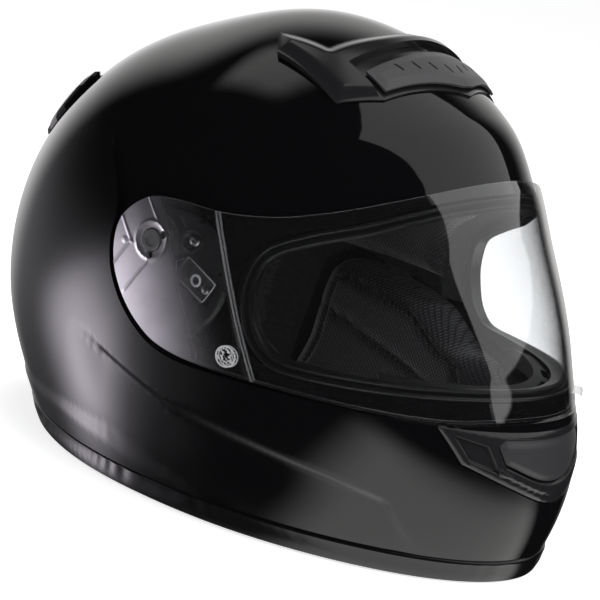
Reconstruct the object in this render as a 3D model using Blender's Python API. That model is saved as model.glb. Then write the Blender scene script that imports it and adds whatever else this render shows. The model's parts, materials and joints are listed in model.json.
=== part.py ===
"""Full-face motorcycle helmet: shell, clear visor on two side pivots, vents, liner, pads and chin strap.

Frame: front of the helmet is -Y, the wearer's right is -X, up is +Z. The bottom rim lies on Z = 0.
Sizes are in millimetres and become metres when points are made, moved by ORIGIN_SHIFT so that the
origin is the middle of the helmet's footprint. Every shell, liner and pad is cut from
one envelope: sections through the visor's pivot axis are superellipses, whose reach PROFILE gives.
"""

import math

import bmesh
import bpy
from mathutils import Euler, Matrix, Quaternion, Vector

MM = 0.001

# Driving dimensions.
ORIGIN_SHIFT = Vector((0.0, 22.8, 0.0))
HALF_WIDTH = 127.0
PIVOT_Y = -12.0
PIVOT_Z = 134.0
ROUNDNESS = 1.94
# Reach of the middle section from the pivot axis, by angle in degrees from straight ahead towards the crown.
PROFILE = (
    (-90, 236),
    (-68, 250),
    (-47, 232),
    (-27, 209),
    (-10, 173),
    (10, 146),
    (30, 137),
    (60, 125.5),
    (90, 121),
    (120, 120),
    (150, 136),
    (180, 159),
    (205, 176),
    (235, 191),
)
SEGMENTS = 32
RINGS = 16

SHELL_WALL = 4.0
VISOR_SEAT = 3.4
VISOR_OUTSIDE = -0.2
VISOR_INSIDE = -2.6
GAP = 0.3
TRIM_OUTSIDE = 1.6
TRIM_HEIGHT = 12.0
FOAM_GAP = 0.8
LINER_INSIDE = -34.0
LINER_BOTTOM = 34.5
CHIN_LINER_INSIDE = -27.0
CROWN_PAD_INSIDE = -43.0
CROWN_PAD_BOTTOM = 118.0
CHEEK_BASE_INSIDE = -15.4
CHEEK_PAD_OUTSIDE = -16.0
CHEEK_PAD_INSIDE = -48.0
SEAL_OUTSIDE = -3.2
SEAL_INSIDE = -13.2
DEFLECTOR_OUTSIDE = -13.8
DEFLECTOR_INSIDE = -25.0
DEFLECTOR_SLOTS = (-46.0, -23.0, 0.0, 23.0, 46.0)
# Distances from the middle plane, at the visor's pivots.
BASE_FLOOR = 115.8
BOSS_INSIDE = 112.4
LOCK_FLOOR = 118.9
# The base stays under the visor's inner face however far the visor is lifted.
BASE_SKIN = -3.8
VENT_CENTRE = (0.0, -28.0, 125.0)
FLAP_HINGE = (0.0, -186.0, 79.5)
STRAP_MIDDLE = -19.0
STRAP_WIDTH = 20.0
STRAP_THICK = 2.0
STRAP_TOP = 105.0
STRAP_LOW = 4.6
BUCKLE_HINGE = (12.0, STRAP_MIDDLE, 9.0)
RIVET = (STRAP_MIDDLE, 108.0)
REAR_VENT_ANGLE = 164.0
REAR_VENT_X = 44.0
REAR_VENT_TILT, REAR_VENT_ROLL = -58.0, 24.0
REAR_VENT_SIZE = (12.0, 25.0, 5.0)

RIGHT, LEFT = -1, 1
SIDES = ((RIGHT, "right"), (LEFT, "left"))

# Side outlines are (y, z); a third value of 1 marks a point that the outline rounds.
VISOR_OUTLINE = (
    (-7, 155, 1), (-24, 157.2, 1), (-46, 157.5, 1), (-70, 161.5, 1), (-91, 169, 1), (-109, 178, 1),
    (-123, 186.5, 1), (-140, 199, 1), (-170, 222, 1), (-260, 290), (-260, 88), (-192, 86.5, 1),
    (-163, 82.5, 1), (-97, 81.5, 1), (-55, 81, 1), (-36, 82, 1), (-20, 86, 1), (-4, 97, 1),
    (7, 111, 1), (11.5, 126, 1), (10.5, 139, 1), (3, 149, 1),
)
SEAT_OUTLINE = (
    (-260, 86.3), (-192, 85.2, 1), (-163, 81.2, 1), (-97, 79.7, 1), (-55, 78.6, 1), (-35, 79.2, 1),
    (-18.5, 83.5, 1), (-1.5, 95.2, 1), (9.6, 109.8, 1), (14.3, 126, 1), (14.5, 142, 1), (20, 154, 1),
    (34, 170, 1), (60, 215), (60, 320), (-260, 320),
)
OPENING = (
    (-62, 127, 1), (-66, 144, 1), (-81, 155.5, 1), (-103, 167, 1), (-126, 182, 1), (-150, 197, 1),
    (-260, 270), (-260, 93.2), (-190, 93, 1), (-140, 89.5, 1), (-102, 88, 1), (-84, 89.5, 1), (-72, 98, 1),
    (-65, 111, 1),
)
SEAL_HOLE = (
    (-69, 127, 1), (-73, 140, 1), (-86, 149.5, 1), (-107, 160.5, 1), (-130, 175.5, 1), (-154, 190.5, 1),
    (-270, 262), (-270, 100), (-190, 99.7, 1), (-140, 96, 1), (-104, 94.5, 1), (-88, 96, 1), (-78, 102.5, 1),
    (-72, 113, 1),
)
BASE_OUTLINE = (
    (7, 134, 1), (4, 143.5, 1), (-3, 149.5, 1), (-15, 152, 1), (-36, 151.5, 1), (-50, 141, 1), (-58, 121, 1),
    (-53, 103, 1), (-42, 92.5, 1), (-29, 90.5, 1), (-14, 95.5, 1), (-1, 107, 1), (5.5, 120, 1),
)
LOCK_OUTLINE = ((-31.3, 131.2), (-25.5, 119.0), (-45.1, 110.5), (-51.0, 121.8))
LOCK_PIN = (-45.2, 117.6)
LOCK_LENGTH = 25.2
SCREWS = ((-21.0, 103.0), (-33.0, 139.5))
PIVOT_PIN = 5.6
TAB_X = 40.0
TAB_Z = 92.0
CHEEK_OUTLINE = (
    (-116, 20), (-116, 64, 1), (-104, 82, 1), (-86, 87, 1), (-72, 95, 1), (-58, 103, 1), (-30, 108, 1),
    (6, 110, 1), (17, 98, 1), (18, 60), (18, 20),
)
ANCHOR_ROOM = ((-33, 95), (-5, 95), (-5, 120), (-33, 120))
ANCHOR_PLATE = ((-29, 99), (-9, 99), (-9, 117), (-29, 117))
STRAP_CHANNEL = ((-31, 0), (-7, 0), (-7, 125), (-31, 125))
LINER_GAP = (
    (-300, -60), (22, -60), (22, 98, 1), (10, 114, 1), (-30, 111.5, 1), (-60, 106.5, 1), (-84, 98),
    (-300, 98),
)
# Front outlines are (x, z).
CHIN_FRAME = (
    (-71, 80.5), (-60, 63.5), (-34, 53, 1), (-8, 44.5, 1), (8, 44.5, 1), (34, 53, 1), (60, 63.5), (71, 80.5),
)
CHIN_WINDOW = (
    (-43, 73.5), (-38, 63.5), (-12, 55, 1), (12, 55, 1), (38, 63.5), (43, 73.5), (38, 77.5), (-38, 77.5),
)
CHIN_SIDE = ((-64, 77.5), (-56.5, 65.5), (-41.5, 60.5), (-48, 73.5))
# Top outlines are (x, y).
VENT_OUTLINE = (
    (0, -99), (-56, -83), (-75, -68), (-72, -26), (-60, -17), (-55, -44), (-20, -52, 1), (20, -52, 1),
    (55, -44), (60, -17), (72, -26), (75, -68), (56, -83),
)
VENT_SLOT = (
    (0, -104), (-57, -87), (-57, -58), (-26, -62, 1), (26, -62, 1), (57, -58), (57, -87),
)
SLIDER_OUTLINE = (
    (0, -96.2), (-53.6, -80.7), (-53.6, -67.3), (-24, -70.3, 1), (24, -70.3, 1), (53.6, -67.3),
    (53.6, -80.7),
)


# ---------------------------------------------------------------- envelope

def smooth(t):
    """0 below 0, 1 above 1, and an even ease between."""
    t = min(max(t, 0.0), 1.0)
    return t * t * (3.0 - 2.0 * t)


def reach(angle):
    """Reach of the middle section at an angle in degrees, through PROFILE's points with even tangents."""
    count = len(PROFILE)
    angle = (angle + 90.0) % 360.0 - 90.0
    last = max(i for i in range(count) if PROFILE[i][0] <= angle)

    def knot(i):
        turns, place = divmod(i, count)
        return PROFILE[place][0] + 360.0 * turns, PROFILE[place][1]

    (a0, r0), (a1, r1), (a2, r2), (a3, r3) = (knot(last + step) for step in (-1, 0, 1, 2))
    span = a2 - a1
    t = (angle - a1) / span
    slope1 = (r2 - r0) / (a2 - a0) * span
    slope2 = (r3 - r1) / (a3 - a1) * span
    return (
        (2 * t**3 - 3 * t**2 + 1) * r1 + (t**3 - 2 * t**2 + t) * slope1
        + (3 * t**2 - 2 * t**3) * r2 + (t**3 - t**2) * slope2
    )


def envelope_x(y, z, offset):
    """Half-width of the envelope, moved out by offset, where it crosses the side point (y, z)."""
    forward, up = PIVOT_Y - y, z - PIVOT_Z
    share = math.hypot(forward, up) / (reach(math.degrees(math.atan2(up, forward))) + offset)
    return (HALF_WIDTH + offset) * max(0.0, 1.0 - share**ROUNDNESS) ** (1.0 / ROUNDNESS)


def front_y(x, z, offset):
    """Y of the envelope's front, moved out by offset, at a distance x from the middle and a height z."""
    near, far = PIVOT_Y, PIVOT_Y - 300.0
    for _ in range(40):
        y = (near + far) / 2.0
        if envelope_x(y, z, offset) > abs(x):
            near = y
        else:
            far = y
    return near


def front_turn(x, z, offset):
    """Turn about Z, in radians, that lays the X direction along the envelope's front."""
    return math.atan(front_y(x + 1.0, z, offset) - front_y(x, z, offset))


def visor_top(y):
    """Height of the visor's top edge in side view."""
    return 157.0 + 0.0048 * max(0.0, -45.0 - y) ** 2


def seat_floor(y, z):
    """Offset of the visor's seat: sunk under the visor and round the pivot, easing out over the brow."""
    above = z - visor_top(y)
    length = min(max(45.0 * (12.0 - y) / 60.0, 8.0), 45.0)
    from_brow = smooth(above / length)
    from_pivot = smooth((math.hypot(y - PIVOT_Y, z - PIVOT_Z) - 42.0) / 26.0)
    return -VISOR_SEAT + (VISOR_SEAT + 1.0) * min(from_brow, from_pivot)


def wall_inside(y, z):
    """Offset of the shell's inner face: deeper where the visor's seat needs room."""
    deep = (1.0 - smooth((y - 35.0) / 50.0)) * (1.0 - smooth((z - visor_top(y) - 45.0) / 40.0))
    return -SHELL_WALL - VISOR_SEAT * deep


def under_wall(gap):
    """Offset, as a function of (y, z), of a layer that starts a gap inside the shell's wall."""
    return lambda y, z: wall_inside(y, z) - gap


def vent_height(y, z):
    """Offset of the top vent's outer face: low in front, so that the visor passes over it."""
    angle = math.degrees(math.atan2(z - PIVOT_Z, PIVOT_Y - y))
    return 4.0 + 2.5 * smooth((angle - 52.0) / 28.0)


# ---------------------------------------------------------------- scene and helpers

def clear_scene():
    for old in list(bpy.data.objects):
        bpy.data.objects.remove(old, do_unlink=True)


def new_collection(name, hidden=False):
    collection = bpy.data.collections.new(name)
    bpy.context.scene.collection.children.link(collection)
    collection.hide_render = hidden
    return collection


def make_material(name, colour, roughness, metallic=0.0, clear=0.0):
    material = bpy.data.materials.new(name)
    material.use_nodes = True
    shader = material.node_tree.nodes["Principled BSDF"]
    shader.inputs["Base Color"].default_value = (*colour, 1.0)
    shader.inputs["Roughness"].default_value = roughness
    shader.inputs["Metallic"].default_value = metallic
    shader.inputs["Transmission Weight"].default_value = clear
    return material


def finish_part(obj, material):
    """Gives the object its own material and smooth faces with the sharp edges kept."""
    obj.data.materials.clear()
    obj.data.materials.append(material)
    obj.data.shade_smooth()
    obj.data.set_sharp_from_angle(angle=math.radians(32))
    return obj


def as_tool(obj):
    """Turns the object into a cutter: hidden in renders, drawn as wires."""
    HELMET.objects.unlink(obj)
    TOOLS.objects.link(obj)
    obj.hide_render = True
    obj.display_type = "WIRE"
    return obj


def boolean(obj, tool, operation):
    modifier = obj.modifiers.new(operation.title(), "BOOLEAN")
    modifier.operation = operation
    modifier.solver = "EXACT"
    modifier.object = tool
    return obj


def cut(obj, *tools):
    for tool in tools:
        boolean(obj, tool, "DIFFERENCE")
    return obj


def keep(obj, *tools):
    for tool in tools:
        boolean(obj, tool, "INTERSECT")
    return obj


def join(obj, *tools):
    for tool in tools:
        boolean(obj, tool, "UNION")
    return obj


def new_object(name, mesh, origin=(0.0, 0.0, 0.0)):
    """Links a mesh made in world millimetres as an object whose origin is at the given point."""
    mesh.transform(Matrix.Translation(-Vector(origin)))
    mesh.transform(Matrix.Scale(MM, 4))
    obj = bpy.data.objects.new(name, mesh)
    obj.location = (Vector(origin) + ORIGIN_SHIFT) * MM
    HELMET.objects.link(obj)
    return obj


def dome(name, offset, origin=(0.0, 0.0, 0.0)):
    """The whole envelope moved out by offset, a number or a function of (y, z), as one closed solid."""
    bm = bmesh.new()
    bmesh.ops.create_uvsphere(bm, u_segments=SEGMENTS, v_segments=RINGS, radius=1.0)
    for vertex in bm.verts:
        across, forward, up = vertex.co.z, vertex.co.x, vertex.co.y
        radial = math.hypot(forward, up)
        share = radial ** (2.0 / ROUNDNESS)
        middle = reach(math.degrees(math.atan2(up, forward)))
        cosine, sine = (forward / radial, up / radial) if radial > 1e-6 else (1.0, 0.0)

        def side_point(extra):
            return PIVOT_Y - (middle + extra) * share * cosine, PIVOT_Z + (middle + extra) * share * sine

        extra = offset(*side_point(0.0)) if callable(offset) else offset
        y, z = side_point(extra)
        x = math.copysign((HALF_WIDTH + extra) * abs(across) ** (2.0 / ROUNDNESS), -across)
        vertex.co = (x, y, z)
    return new_object(name, finished_mesh(name, bm), origin)


def finished_mesh(name, bm):
    bm.normal_update()
    bmesh.ops.recalc_face_normals(bm, faces=bm.faces)
    mesh = bpy.data.meshes.new(name)
    bm.to_mesh(mesh)
    bm.free()
    return mesh


# World directions of an outline's first value, second value and thickness.
SIDE_VIEW = Matrix(((0, 0, 1), (1, 0, 0), (0, 1, 0)))
FRONT_VIEW = Matrix(((1, 0, 0), (0, 0, -1), (0, 1, 0)))
TOP_VIEW = Matrix.Identity(3)


def slab(name, outline, low, high, view=SIDE_VIEW, grow=0.0, origin=(0.0, 0.0, 0.0)):
    """A flat outline given thickness from low to high along the view's line of sight, as a closed mesh."""
    curve = bpy.data.curves.new(name, "CURVE")
    curve.dimensions = "2D"
    curve.fill_mode = "BOTH"
    curve.resolution_u = 2
    curve.extrude = abs(high - low) / 2.0
    spline = curve.splines.new("BEZIER")
    points = grown(outline, grow)
    spline.bezier_points.add(len(points) - 1)
    for knot, point, source in zip(spline.bezier_points, points, outline):
        knot.co = (point[0], point[1], 0.0)
        kind = "AUTO" if len(source) == 3 else "VECTOR"
        knot.handle_left_type = knot.handle_right_type = kind
    spline.use_cyclic_u = True
    drawn = bpy.data.objects.new(name, curve)
    HELMET.objects.link(drawn)
    graph = bpy.context.evaluated_depsgraph_get()
    mesh = bpy.data.meshes.new_from_object(drawn.evaluated_get(graph))
    bpy.data.objects.remove(drawn, do_unlink=True)
    bm = bmesh.new()
    bm.from_mesh(mesh)
    bpy.data.meshes.remove(mesh)
    bmesh.ops.remove_doubles(bm, verts=bm.verts, dist=0.001)
    sight = view @ Vector((0.0, 0.0, (low + high) / 2.0 * view.col[2][abs_axis(view)]))
    bmesh.ops.transform(bm, matrix=Matrix.Translation(sight) @ view.to_4x4(), verts=bm.verts)
    return new_object(name, finished_mesh(name, bm), origin)


def abs_axis(view):
    """Index of the world axis that the view looks along."""
    return max(range(3), key=lambda axis: abs(view.col[2][axis]))


def grown(outline, distance):
    """The outline moved outwards by distance at each point."""
    points = [Vector(point[:2]) for point in outline]
    if not distance:
        return points
    area = sum(a.x * b.y - b.x * a.y for a, b in zip(points, points[1:] + points[:1]))
    step = distance if area > 0 else -distance
    moved = []
    for before, here, after in zip(points[-1:] + points[:-1], points, points[1:] + points[:1]):
        first, second = (here - before).normalized(), (after - here).normalized()
        outward = Vector((first.y + second.y, -first.x - second.x)).normalized()
        stretch = max(0.5, outward.dot(Vector((first.y, -first.x))))
        moved.append(here + outward * (step / stretch))
    return moved


def box(name, low, high, origin=(0.0, 0.0, 0.0)):
    bm = bmesh.new()
    size = Vector(high) - Vector(low)
    middle = (Vector(high) + Vector(low)) / 2.0
    bmesh.ops.create_cube(bm, size=1.0, matrix=Matrix.Translation(middle) @ Matrix.Diagonal((*size, 1.0)))
    return new_object(name, finished_mesh(name, bm), origin)


def rod(name, start, end, radius, sides=12, origin=(0.0, 0.0, 0.0)):
    """A cylinder from start to end."""
    line = Vector(end) - Vector(start)
    turn = Vector((0.0, 0.0, 1.0)).rotation_difference(line).to_matrix().to_4x4()
    place = Matrix.Translation((Vector(start) + Vector(end)) / 2.0) @ turn
    bm = bmesh.new()
    bmesh.ops.create_cone(
        bm, cap_ends=True, segments=sides, radius1=radius, radius2=radius, depth=line.length, matrix=place
    )
    return new_object(name, finished_mesh(name, bm), origin)


def lens(name, centre, size, turn):
    """A flattened round body, for the small covers."""
    bm = bmesh.new()
    place = Matrix.Translation(centre) @ turn.to_matrix().to_4x4() @ Matrix.Diagonal((*size, 1.0))
    bmesh.ops.create_uvsphere(bm, u_segments=16, v_segments=8, radius=1.0, matrix=place)
    return new_object(name, finished_mesh(name, bm))


def side_slab(name, outline, side, low, high, grow=0.0, origin=(0.0, 0.0, 0.0)):
    """A slab from a side outline, between two distances from the middle on one side."""
    near, far = sorted((side * low, side * high))
    return slab(name, outline, near, far, SIDE_VIEW, grow, origin)


def side_rod(name, side, place, low, high, radius, sides=12, origin=(0.0, 0.0, 0.0)):
    """A rod across the helmet at a side point, between two distances from the middle on one side."""
    y, z = place
    return rod(name, (side * low, y, z), (side * high, y, z), radius, sides, origin)


# ---------------------------------------------------------------- shell and liner

def cut_chin(shell):
    flange = as_tool(slab("chin_flange_cutter", CHIN_FRAME, -260, -120, FRONT_VIEW, grow=0.4))
    cut(flange, as_tool(dome("chin_flange_floor", -2.8)))
    through = as_tool(slab("chin_duct_cutter", CHIN_WINDOW, -260, -120, FRONT_VIEW, grow=1.5))
    cut(shell, flange, through)


def make_shell(materials):
    shell = finish_part(dome("outer_shell", 0.0), materials["gloss black"])
    cut(shell, as_tool(dome("shell_inside", wall_inside)))
    under_skin = as_tool(dome("boss_skin", -3.9))
    for side, word in SIDES:
        boss = as_tool(side_slab("boss_" + word, BASE_OUTLINE, side, BOSS_INSIDE, 125, grow=4.0))
        join(shell, keep(boss, under_skin))
    seat = as_tool(slab("visor_seat_cutter", SEAT_OUTLINE, -160, 160))
    cut(shell, cut(seat, as_tool(dome("seat_floor", seat_floor))))
    for side, word in SIDES:
        cut(shell, as_tool(side_slab("base_recess_" + word, BASE_OUTLINE, side, BASE_FLOOR, 140, grow=0.4)))
        for number, place in enumerate(SCREWS, 1):
            cut(shell, as_tool(side_rod(f"screw_hole_{word}_{number}", side, place, 100, 140, 1.9)))
        cut(shell, as_tool(side_rod("rivet_hole_" + word, side, RIVET, 100, 140, 2.8)))
    cut(shell, as_tool(slab("opening_cutter", OPENING, -160, 160)))
    cut_chin(shell)
    cut(shell, as_tool(box("rim_cutter", (-200, -300, -200), (200, 300, 1.8))))
    return shell


def make_trim(materials):
    trim = finish_part(dome("rim_trim", TRIM_OUTSIDE), materials["rubber"])
    cut(trim, as_tool(dome("trim_inside", under_wall(2.0))))
    groove = as_tool(dome("trim_groove", 0.35))
    cut(groove, as_tool(dome("trim_groove_inside", under_wall(0.35))))
    cut(groove, as_tool(box("trim_groove_floor", (-200, -300, -200), (200, 300, 1.5))))
    cut(trim, groove)
    keep(trim, as_tool(box("trim_band", (-200, -300, 0.0), (200, 300, TRIM_HEIGHT))))
    return trim


def boss_room(name, side):
    """Cutter that leaves room for the shell's boss under a visor base."""
    return as_tool(side_slab(name, BASE_OUTLINE, side, BOSS_INSIDE - 0.4, 140, grow=4.5))


def make_liner(materials):
    liner = finish_part(dome("eps_liner", under_wall(FOAM_GAP)), materials["foam core"])
    cut(liner, as_tool(dome("liner_inside", LINER_INSIDE)))
    cut(liner, as_tool(slab("liner_gap_cutter", LINER_GAP, -160, 160)))
    cut(liner, as_tool(slab("liner_opening_cutter", OPENING, -160, 160, grow=0.3)))
    cut(liner, as_tool(box("liner_bottom", (-200, -300, -200), (200, 300, LINER_BOTTOM))))
    for side, word in SIDES:
        cut(liner, boss_room("liner_boss_" + word, side))
        cut(liner, as_tool(side_slab("liner_anchor_" + word, ANCHOR_ROOM, side, 106.8, 140)))
    return liner


def make_chin_liner(materials):
    liner = finish_part(dome("chin_bar_liner", under_wall(FOAM_GAP)), materials["foam core"])
    cut(liner, as_tool(dome("chin_liner_inside", CHIN_LINER_INSIDE)))
    keep(liner, as_tool(box("chin_liner_room", (-100, -260, 14), (100, -119, 84))))
    duct = as_tool(slab("chin_liner_duct", CHIN_WINDOW, -260, -170, FRONT_VIEW, grow=2.0))
    cut(duct, as_tool(dome("chin_duct_floor", -17.0)))
    cut(liner, duct)
    return liner


def make_crown_pad(materials):
    pad = finish_part(dome("crown_pad", LINER_INSIDE - 0.5), materials["lining cloth"])
    cut(pad, as_tool(dome("crown_pad_inside", CROWN_PAD_INSIDE)))
    cut(pad, as_tool(slab("crown_pad_front", OPENING, -160, 160, grow=2.0)))
    cut(pad, as_tool(box("crown_pad_bottom", (-200, -300, -200), (200, 300, CROWN_PAD_BOTTOM))))
    return pad


def make_neck_roll(materials):
    roll = finish_part(dome("neck_roll", under_wall(2 * GAP)), materials["lining cloth"])
    cut(roll, as_tool(dome("neck_roll_inside", CHIN_LINER_INSIDE)))
    keep(roll, as_tool(box("neck_roll_room", (-200, 23, 13), (200, 300, 34))))
    return roll


def make_cheek(side, word, materials):
    base = finish_part(dome("cheek_pad_base_" + word, under_wall(2 * GAP)), materials["foam core"])
    cut(base, as_tool(dome("cheek_base_inside_" + word, CHEEK_BASE_INSIDE)))
    keep(base, as_tool(side_slab("cheek_base_room_" + word, CHEEK_OUTLINE, side, 50, 140)))
    cut(base, as_tool(slab("cheek_base_opening_" + word, OPENING, -160, 160, grow=0.4)))
    cut(base, boss_room("cheek_base_boss_" + word, side))
    channel = as_tool(side_slab("strap_channel_" + word, STRAP_CHANNEL, side, 60, 140))
    cut(base, keep(channel, as_tool(dome("strap_channel_floor_" + word, -9.6))))
    pad = finish_part(dome("cheek_pad_" + word, CHEEK_PAD_OUTSIDE), materials["lining cloth"])
    cut(pad, as_tool(dome("cheek_inside_" + word, CHEEK_PAD_INSIDE)))
    keep(pad, as_tool(side_slab("cheek_room_" + word, CHEEK_OUTLINE, side, 50, 140, grow=-0.5)))
    cut(pad, as_tool(side_slab("cheek_anchor_" + word, ANCHOR_ROOM, side, 106.8, 140)))


def make_seal(materials):
    seal = finish_part(dome("eyeport_seal", SEAL_OUTSIDE), materials["rubber"])
    cut(seal, as_tool(dome("seal_inside", SEAL_INSIDE)))
    keep(seal, as_tool(slab("seal_outside_edge", OPENING, -160, 160, grow=-0.4)))
    cut(seal, as_tool(slab("seal_hole", SEAL_HOLE, -170, 170)))
    return seal


def make_deflector(materials):
    middle = (DEFLECTOR_OUTSIDE + DEFLECTOR_INSIDE) / 2.0
    deflector = finish_part(dome("chin_deflector", DEFLECTOR_OUTSIDE), materials["matt black"])
    cut(deflector, as_tool(dome("deflector_inside", DEFLECTOR_INSIDE)))
    keep(deflector, as_tool(box("deflector_room", (-90, -260, 84.5), (90, -140, 94.5))))
    for number, x in enumerate(DEFLECTOR_SLOTS, 1):
        place = (x, front_y(x, 90.0, middle), 90.0)
        slot = as_tool(box(f"deflector_slot_{number}", (-8, -2.2, -20), (8, 2.2, 20)))
        slot.location = (Vector(place) + ORIGIN_SHIFT) * MM
        slot.rotation_euler = (0.0, 0.0, front_turn(x, 90.0, middle))
        cut(deflector, slot)
    return deflector


# ---------------------------------------------------------------- visor and its mechanism

def make_visor(materials):
    origin = (0.0, PIVOT_Y, PIVOT_Z)
    visor = finish_part(dome("visor", VISOR_OUTSIDE, origin), materials["clear plastic"])
    cut(visor, as_tool(dome("visor_inside", VISOR_INSIDE)))
    keep(visor, as_tool(slab("visor_edge", VISOR_OUTLINE, -160, 160)))
    cut(visor, as_tool(rod("visor_hub_hole", (-160, PIVOT_Y, PIVOT_Z), (160, PIVOT_Y, PIVOT_Z), 6.1, 16)))
    turn = Euler((0.0, 0.0, front_turn(TAB_X, TAB_Z, 0.0)))
    middle = Vector((TAB_X, front_y(TAB_X, TAB_Z, -0.5), TAB_Z))
    tab = as_tool(lens("visor_tab", middle, (9, 5.5, 2.2), turn))
    cut(tab, as_tool(dome("visor_tab_inside", VISOR_INSIDE + 0.8)))
    join(visor, tab)
    return visor


def make_visor_base(side, word, materials):
    base = finish_part(
        side_slab("visor_base_" + word, BASE_OUTLINE, side, BASE_FLOOR + GAP, 126), materials["dark plastic"]
    )
    keep(base, as_tool(dome("base_skin_" + word, BASE_SKIN)))
    pivot = (PIVOT_Y, PIVOT_Z)
    join(base, as_tool(side_rod("pivot_pin_" + word, side, pivot, 118, HALF_WIDTH + 0.6, PIVOT_PIN, 16)))
    room = as_tool(side_slab("lock_room_" + word, LOCK_ROOM, side, LOCK_FLOOR - GAP, 140))
    cut(base, room)
    for number, place in enumerate(SCREWS, 1):
        hole = as_tool(side_rod(f"base_hole_{word}_{number}", side, place, 100, 140, 1.9))
        sink = as_tool(side_rod(f"base_sink_{word}_{number}", side, place, 119.2, 140, 3.6))
        cut(base, hole, sink)
        screw = finish_part(
            side_rod(f"visor_screw_{word}_{number}", side, place, 113.4, 119.7, 1.5, 12), materials["steel"]
        )
        join(screw, as_tool(side_rod(f"screw_head_{word}_{number}", side, place, 119.5, 121.0, 3.2, 12)))


def make_lock(side, word, materials):
    lock = finish_part(
        side_slab("visor_lock_" + word, LOCK_OUTLINE, side, LOCK_FLOOR, 126), materials["clear plastic"]
    )
    keep(lock, as_tool(dome("lock_skin_" + word, BASE_SKIN)))
    cut(lock, as_tool(side_rod("lock_pin_hole_" + word, side, LOCK_PIN, 100, 140, 2.5)))
    top = LOCK_FLOOR + 1.5
    finish_part(side_rod("lock_pin_" + word, side, LOCK_PIN, LOCK_FLOOR, top + 0.5, 2.2), materials["steel"])
    spring = side_slab("lock_spring_" + word, lock_spring_outline(), side, LOCK_FLOOR, top)
    finish_part(spring, materials["steel"])


def along_lock(along, across):
    """A side point in the lock's own directions, from the middle of its upper end."""
    start = (Vector(LOCK_OUTLINE[0]) + Vector(LOCK_OUTLINE[1])) / 2.0
    line = (Vector(LOCK_OUTLINE[2]) - Vector(LOCK_OUTLINE[1])).normalized()
    point = start + line * along + Vector((-line.y, line.x)) * across
    return point.x, point.y


def lock_spring_outline():
    """A leaf bent to a shallow V behind the lock's upper end."""
    outer = [along_lock(-0.4 - bend, across) for across, bend in ((-4.0, 0.2), (0.0, 3.2), (4.0, 0.2))]
    inner = [along_lock(-1.0 - bend, across) for across, bend in ((4.0, 0.2), (0.0, 3.2), (-4.0, 0.2))]
    return tuple(outer + inner)


LOCK_ROOM = tuple(
    along_lock(*corner) for corner in ((-5.0, 7.3), (-5.0, -7.3), (LOCK_LENGTH, -7.3), (LOCK_LENGTH, 7.3))
)


# ---------------------------------------------------------------- vents

def make_top_vent(materials):
    base = finish_part(dome("top_vent_base", vent_height), materials["gloss black"])
    keep(base, as_tool(slab("vent_outline", VENT_OUTLINE, 150, 300, TOP_VIEW)))
    room = as_tool(slab("vent_slot", VENT_SLOT, 150, 300, TOP_VIEW))
    cut(room, as_tool(dome("vent_slot_floor", 1.6)))
    cut(base, as_tool(dome("vent_base_floor", 0.4)), room)
    slider = finish_part(dome("top_vent_slider", 4.5, VENT_CENTRE), materials["matt dark grey"])
    keep(slider, as_tool(slab("slider_outline", SLIDER_OUTLINE, 150, 300, TOP_VIEW)))
    cut(slider, as_tool(dome("slider_floor", 2.3)))


def make_chin_vent(materials):
    frame = finish_part(dome("chin_vent_frame", 0.6), materials["gloss black"])
    cut(frame, as_tool(dome("chin_frame_inside", -2.4)))
    keep(frame, as_tool(slab("chin_frame_outline", CHIN_FRAME, -260, -120, FRONT_VIEW)))
    cut(frame, as_tool(slab("chin_window_cutter", CHIN_WINDOW, -260, -120, FRONT_VIEW)))
    for side, word in SIDES:
        outline = [(-side * x, z) for x, z in CHIN_SIDE]
        pocket = as_tool(slab("chin_side_" + word, outline, -260, -120, FRONT_VIEW))
        cut(frame, cut(pocket, as_tool(dome("chin_side_floor_" + word, -1.2))))
    flap = finish_part(dome("chin_vent_flap", -0.4, FLAP_HINGE), materials["matt dark grey"])
    cut(flap, as_tool(dome("flap_inside", -2.2)))
    keep(flap, as_tool(slab("flap_outline", CHIN_WINDOW, -260, -120, FRONT_VIEW, grow=-0.9)))


def make_rear_vent(side, word, materials):
    """A flattened cover that lies along the shell behind the crown."""
    angle = math.radians(REAR_VENT_ANGLE)
    out = (1.0 - (REAR_VENT_X / HALF_WIDTH) ** ROUNDNESS) ** (1.0 / ROUNDNESS) * reach(REAR_VENT_ANGLE)
    centre = Vector((side * REAR_VENT_X, PIVOT_Y - out * math.cos(angle), PIVOT_Z + out * math.sin(angle)))
    tilt, roll = math.radians(REAR_VENT_TILT), math.radians(side * REAR_VENT_ROLL)
    turn = Quaternion((1, 0, 0), tilt) @ Quaternion((0, 1, 0), roll)
    vent = finish_part(lens("rear_vent_" + word, centre, REAR_VENT_SIZE, turn), materials["gloss black"])
    cut(vent, as_tool(dome("rear_vent_floor_" + word, 0.5)))


# ---------------------------------------------------------------- chin strap

def strap_path(end):
    """Middle line of a strap as (distance from the middle, height): down the shell, then under the chin."""
    path = []
    for height in (STRAP_TOP + 10.0, 96.0, 80.0, 62.0, 46.0, 32.0, 22.0):
        path.append((min(BOSS_INSIDE - 1.3, envelope_x(STRAP_MIDDLE, height, -12.8)), height))
    across, _ = path[-1]
    bend = 14.0
    for degrees in (20, 45, 70, 90):
        turn = math.radians(degrees)
        inwards, upwards = bend * (1.0 - math.cos(turn)), bend * (1.0 - math.sin(turn))
        path.append((across - 2.0 - inwards, STRAP_LOW + upwards))
    path.append((end, STRAP_LOW))
    return path


def band(path, below, above):
    """Closed outline of a ribbon along the path, between two distances to its left."""
    points = [Vector(point) for point in path]
    low, high = [], []
    for i, point in enumerate(points):
        line = (points[min(i + 1, len(points) - 1)] - points[max(i - 1, 0)]).normalized()
        left = Vector((-line.y, line.x))
        low.append(point + left * below)
        high.append(point + left * above)
    return [tuple(point) for point in low + high[::-1]]


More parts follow.
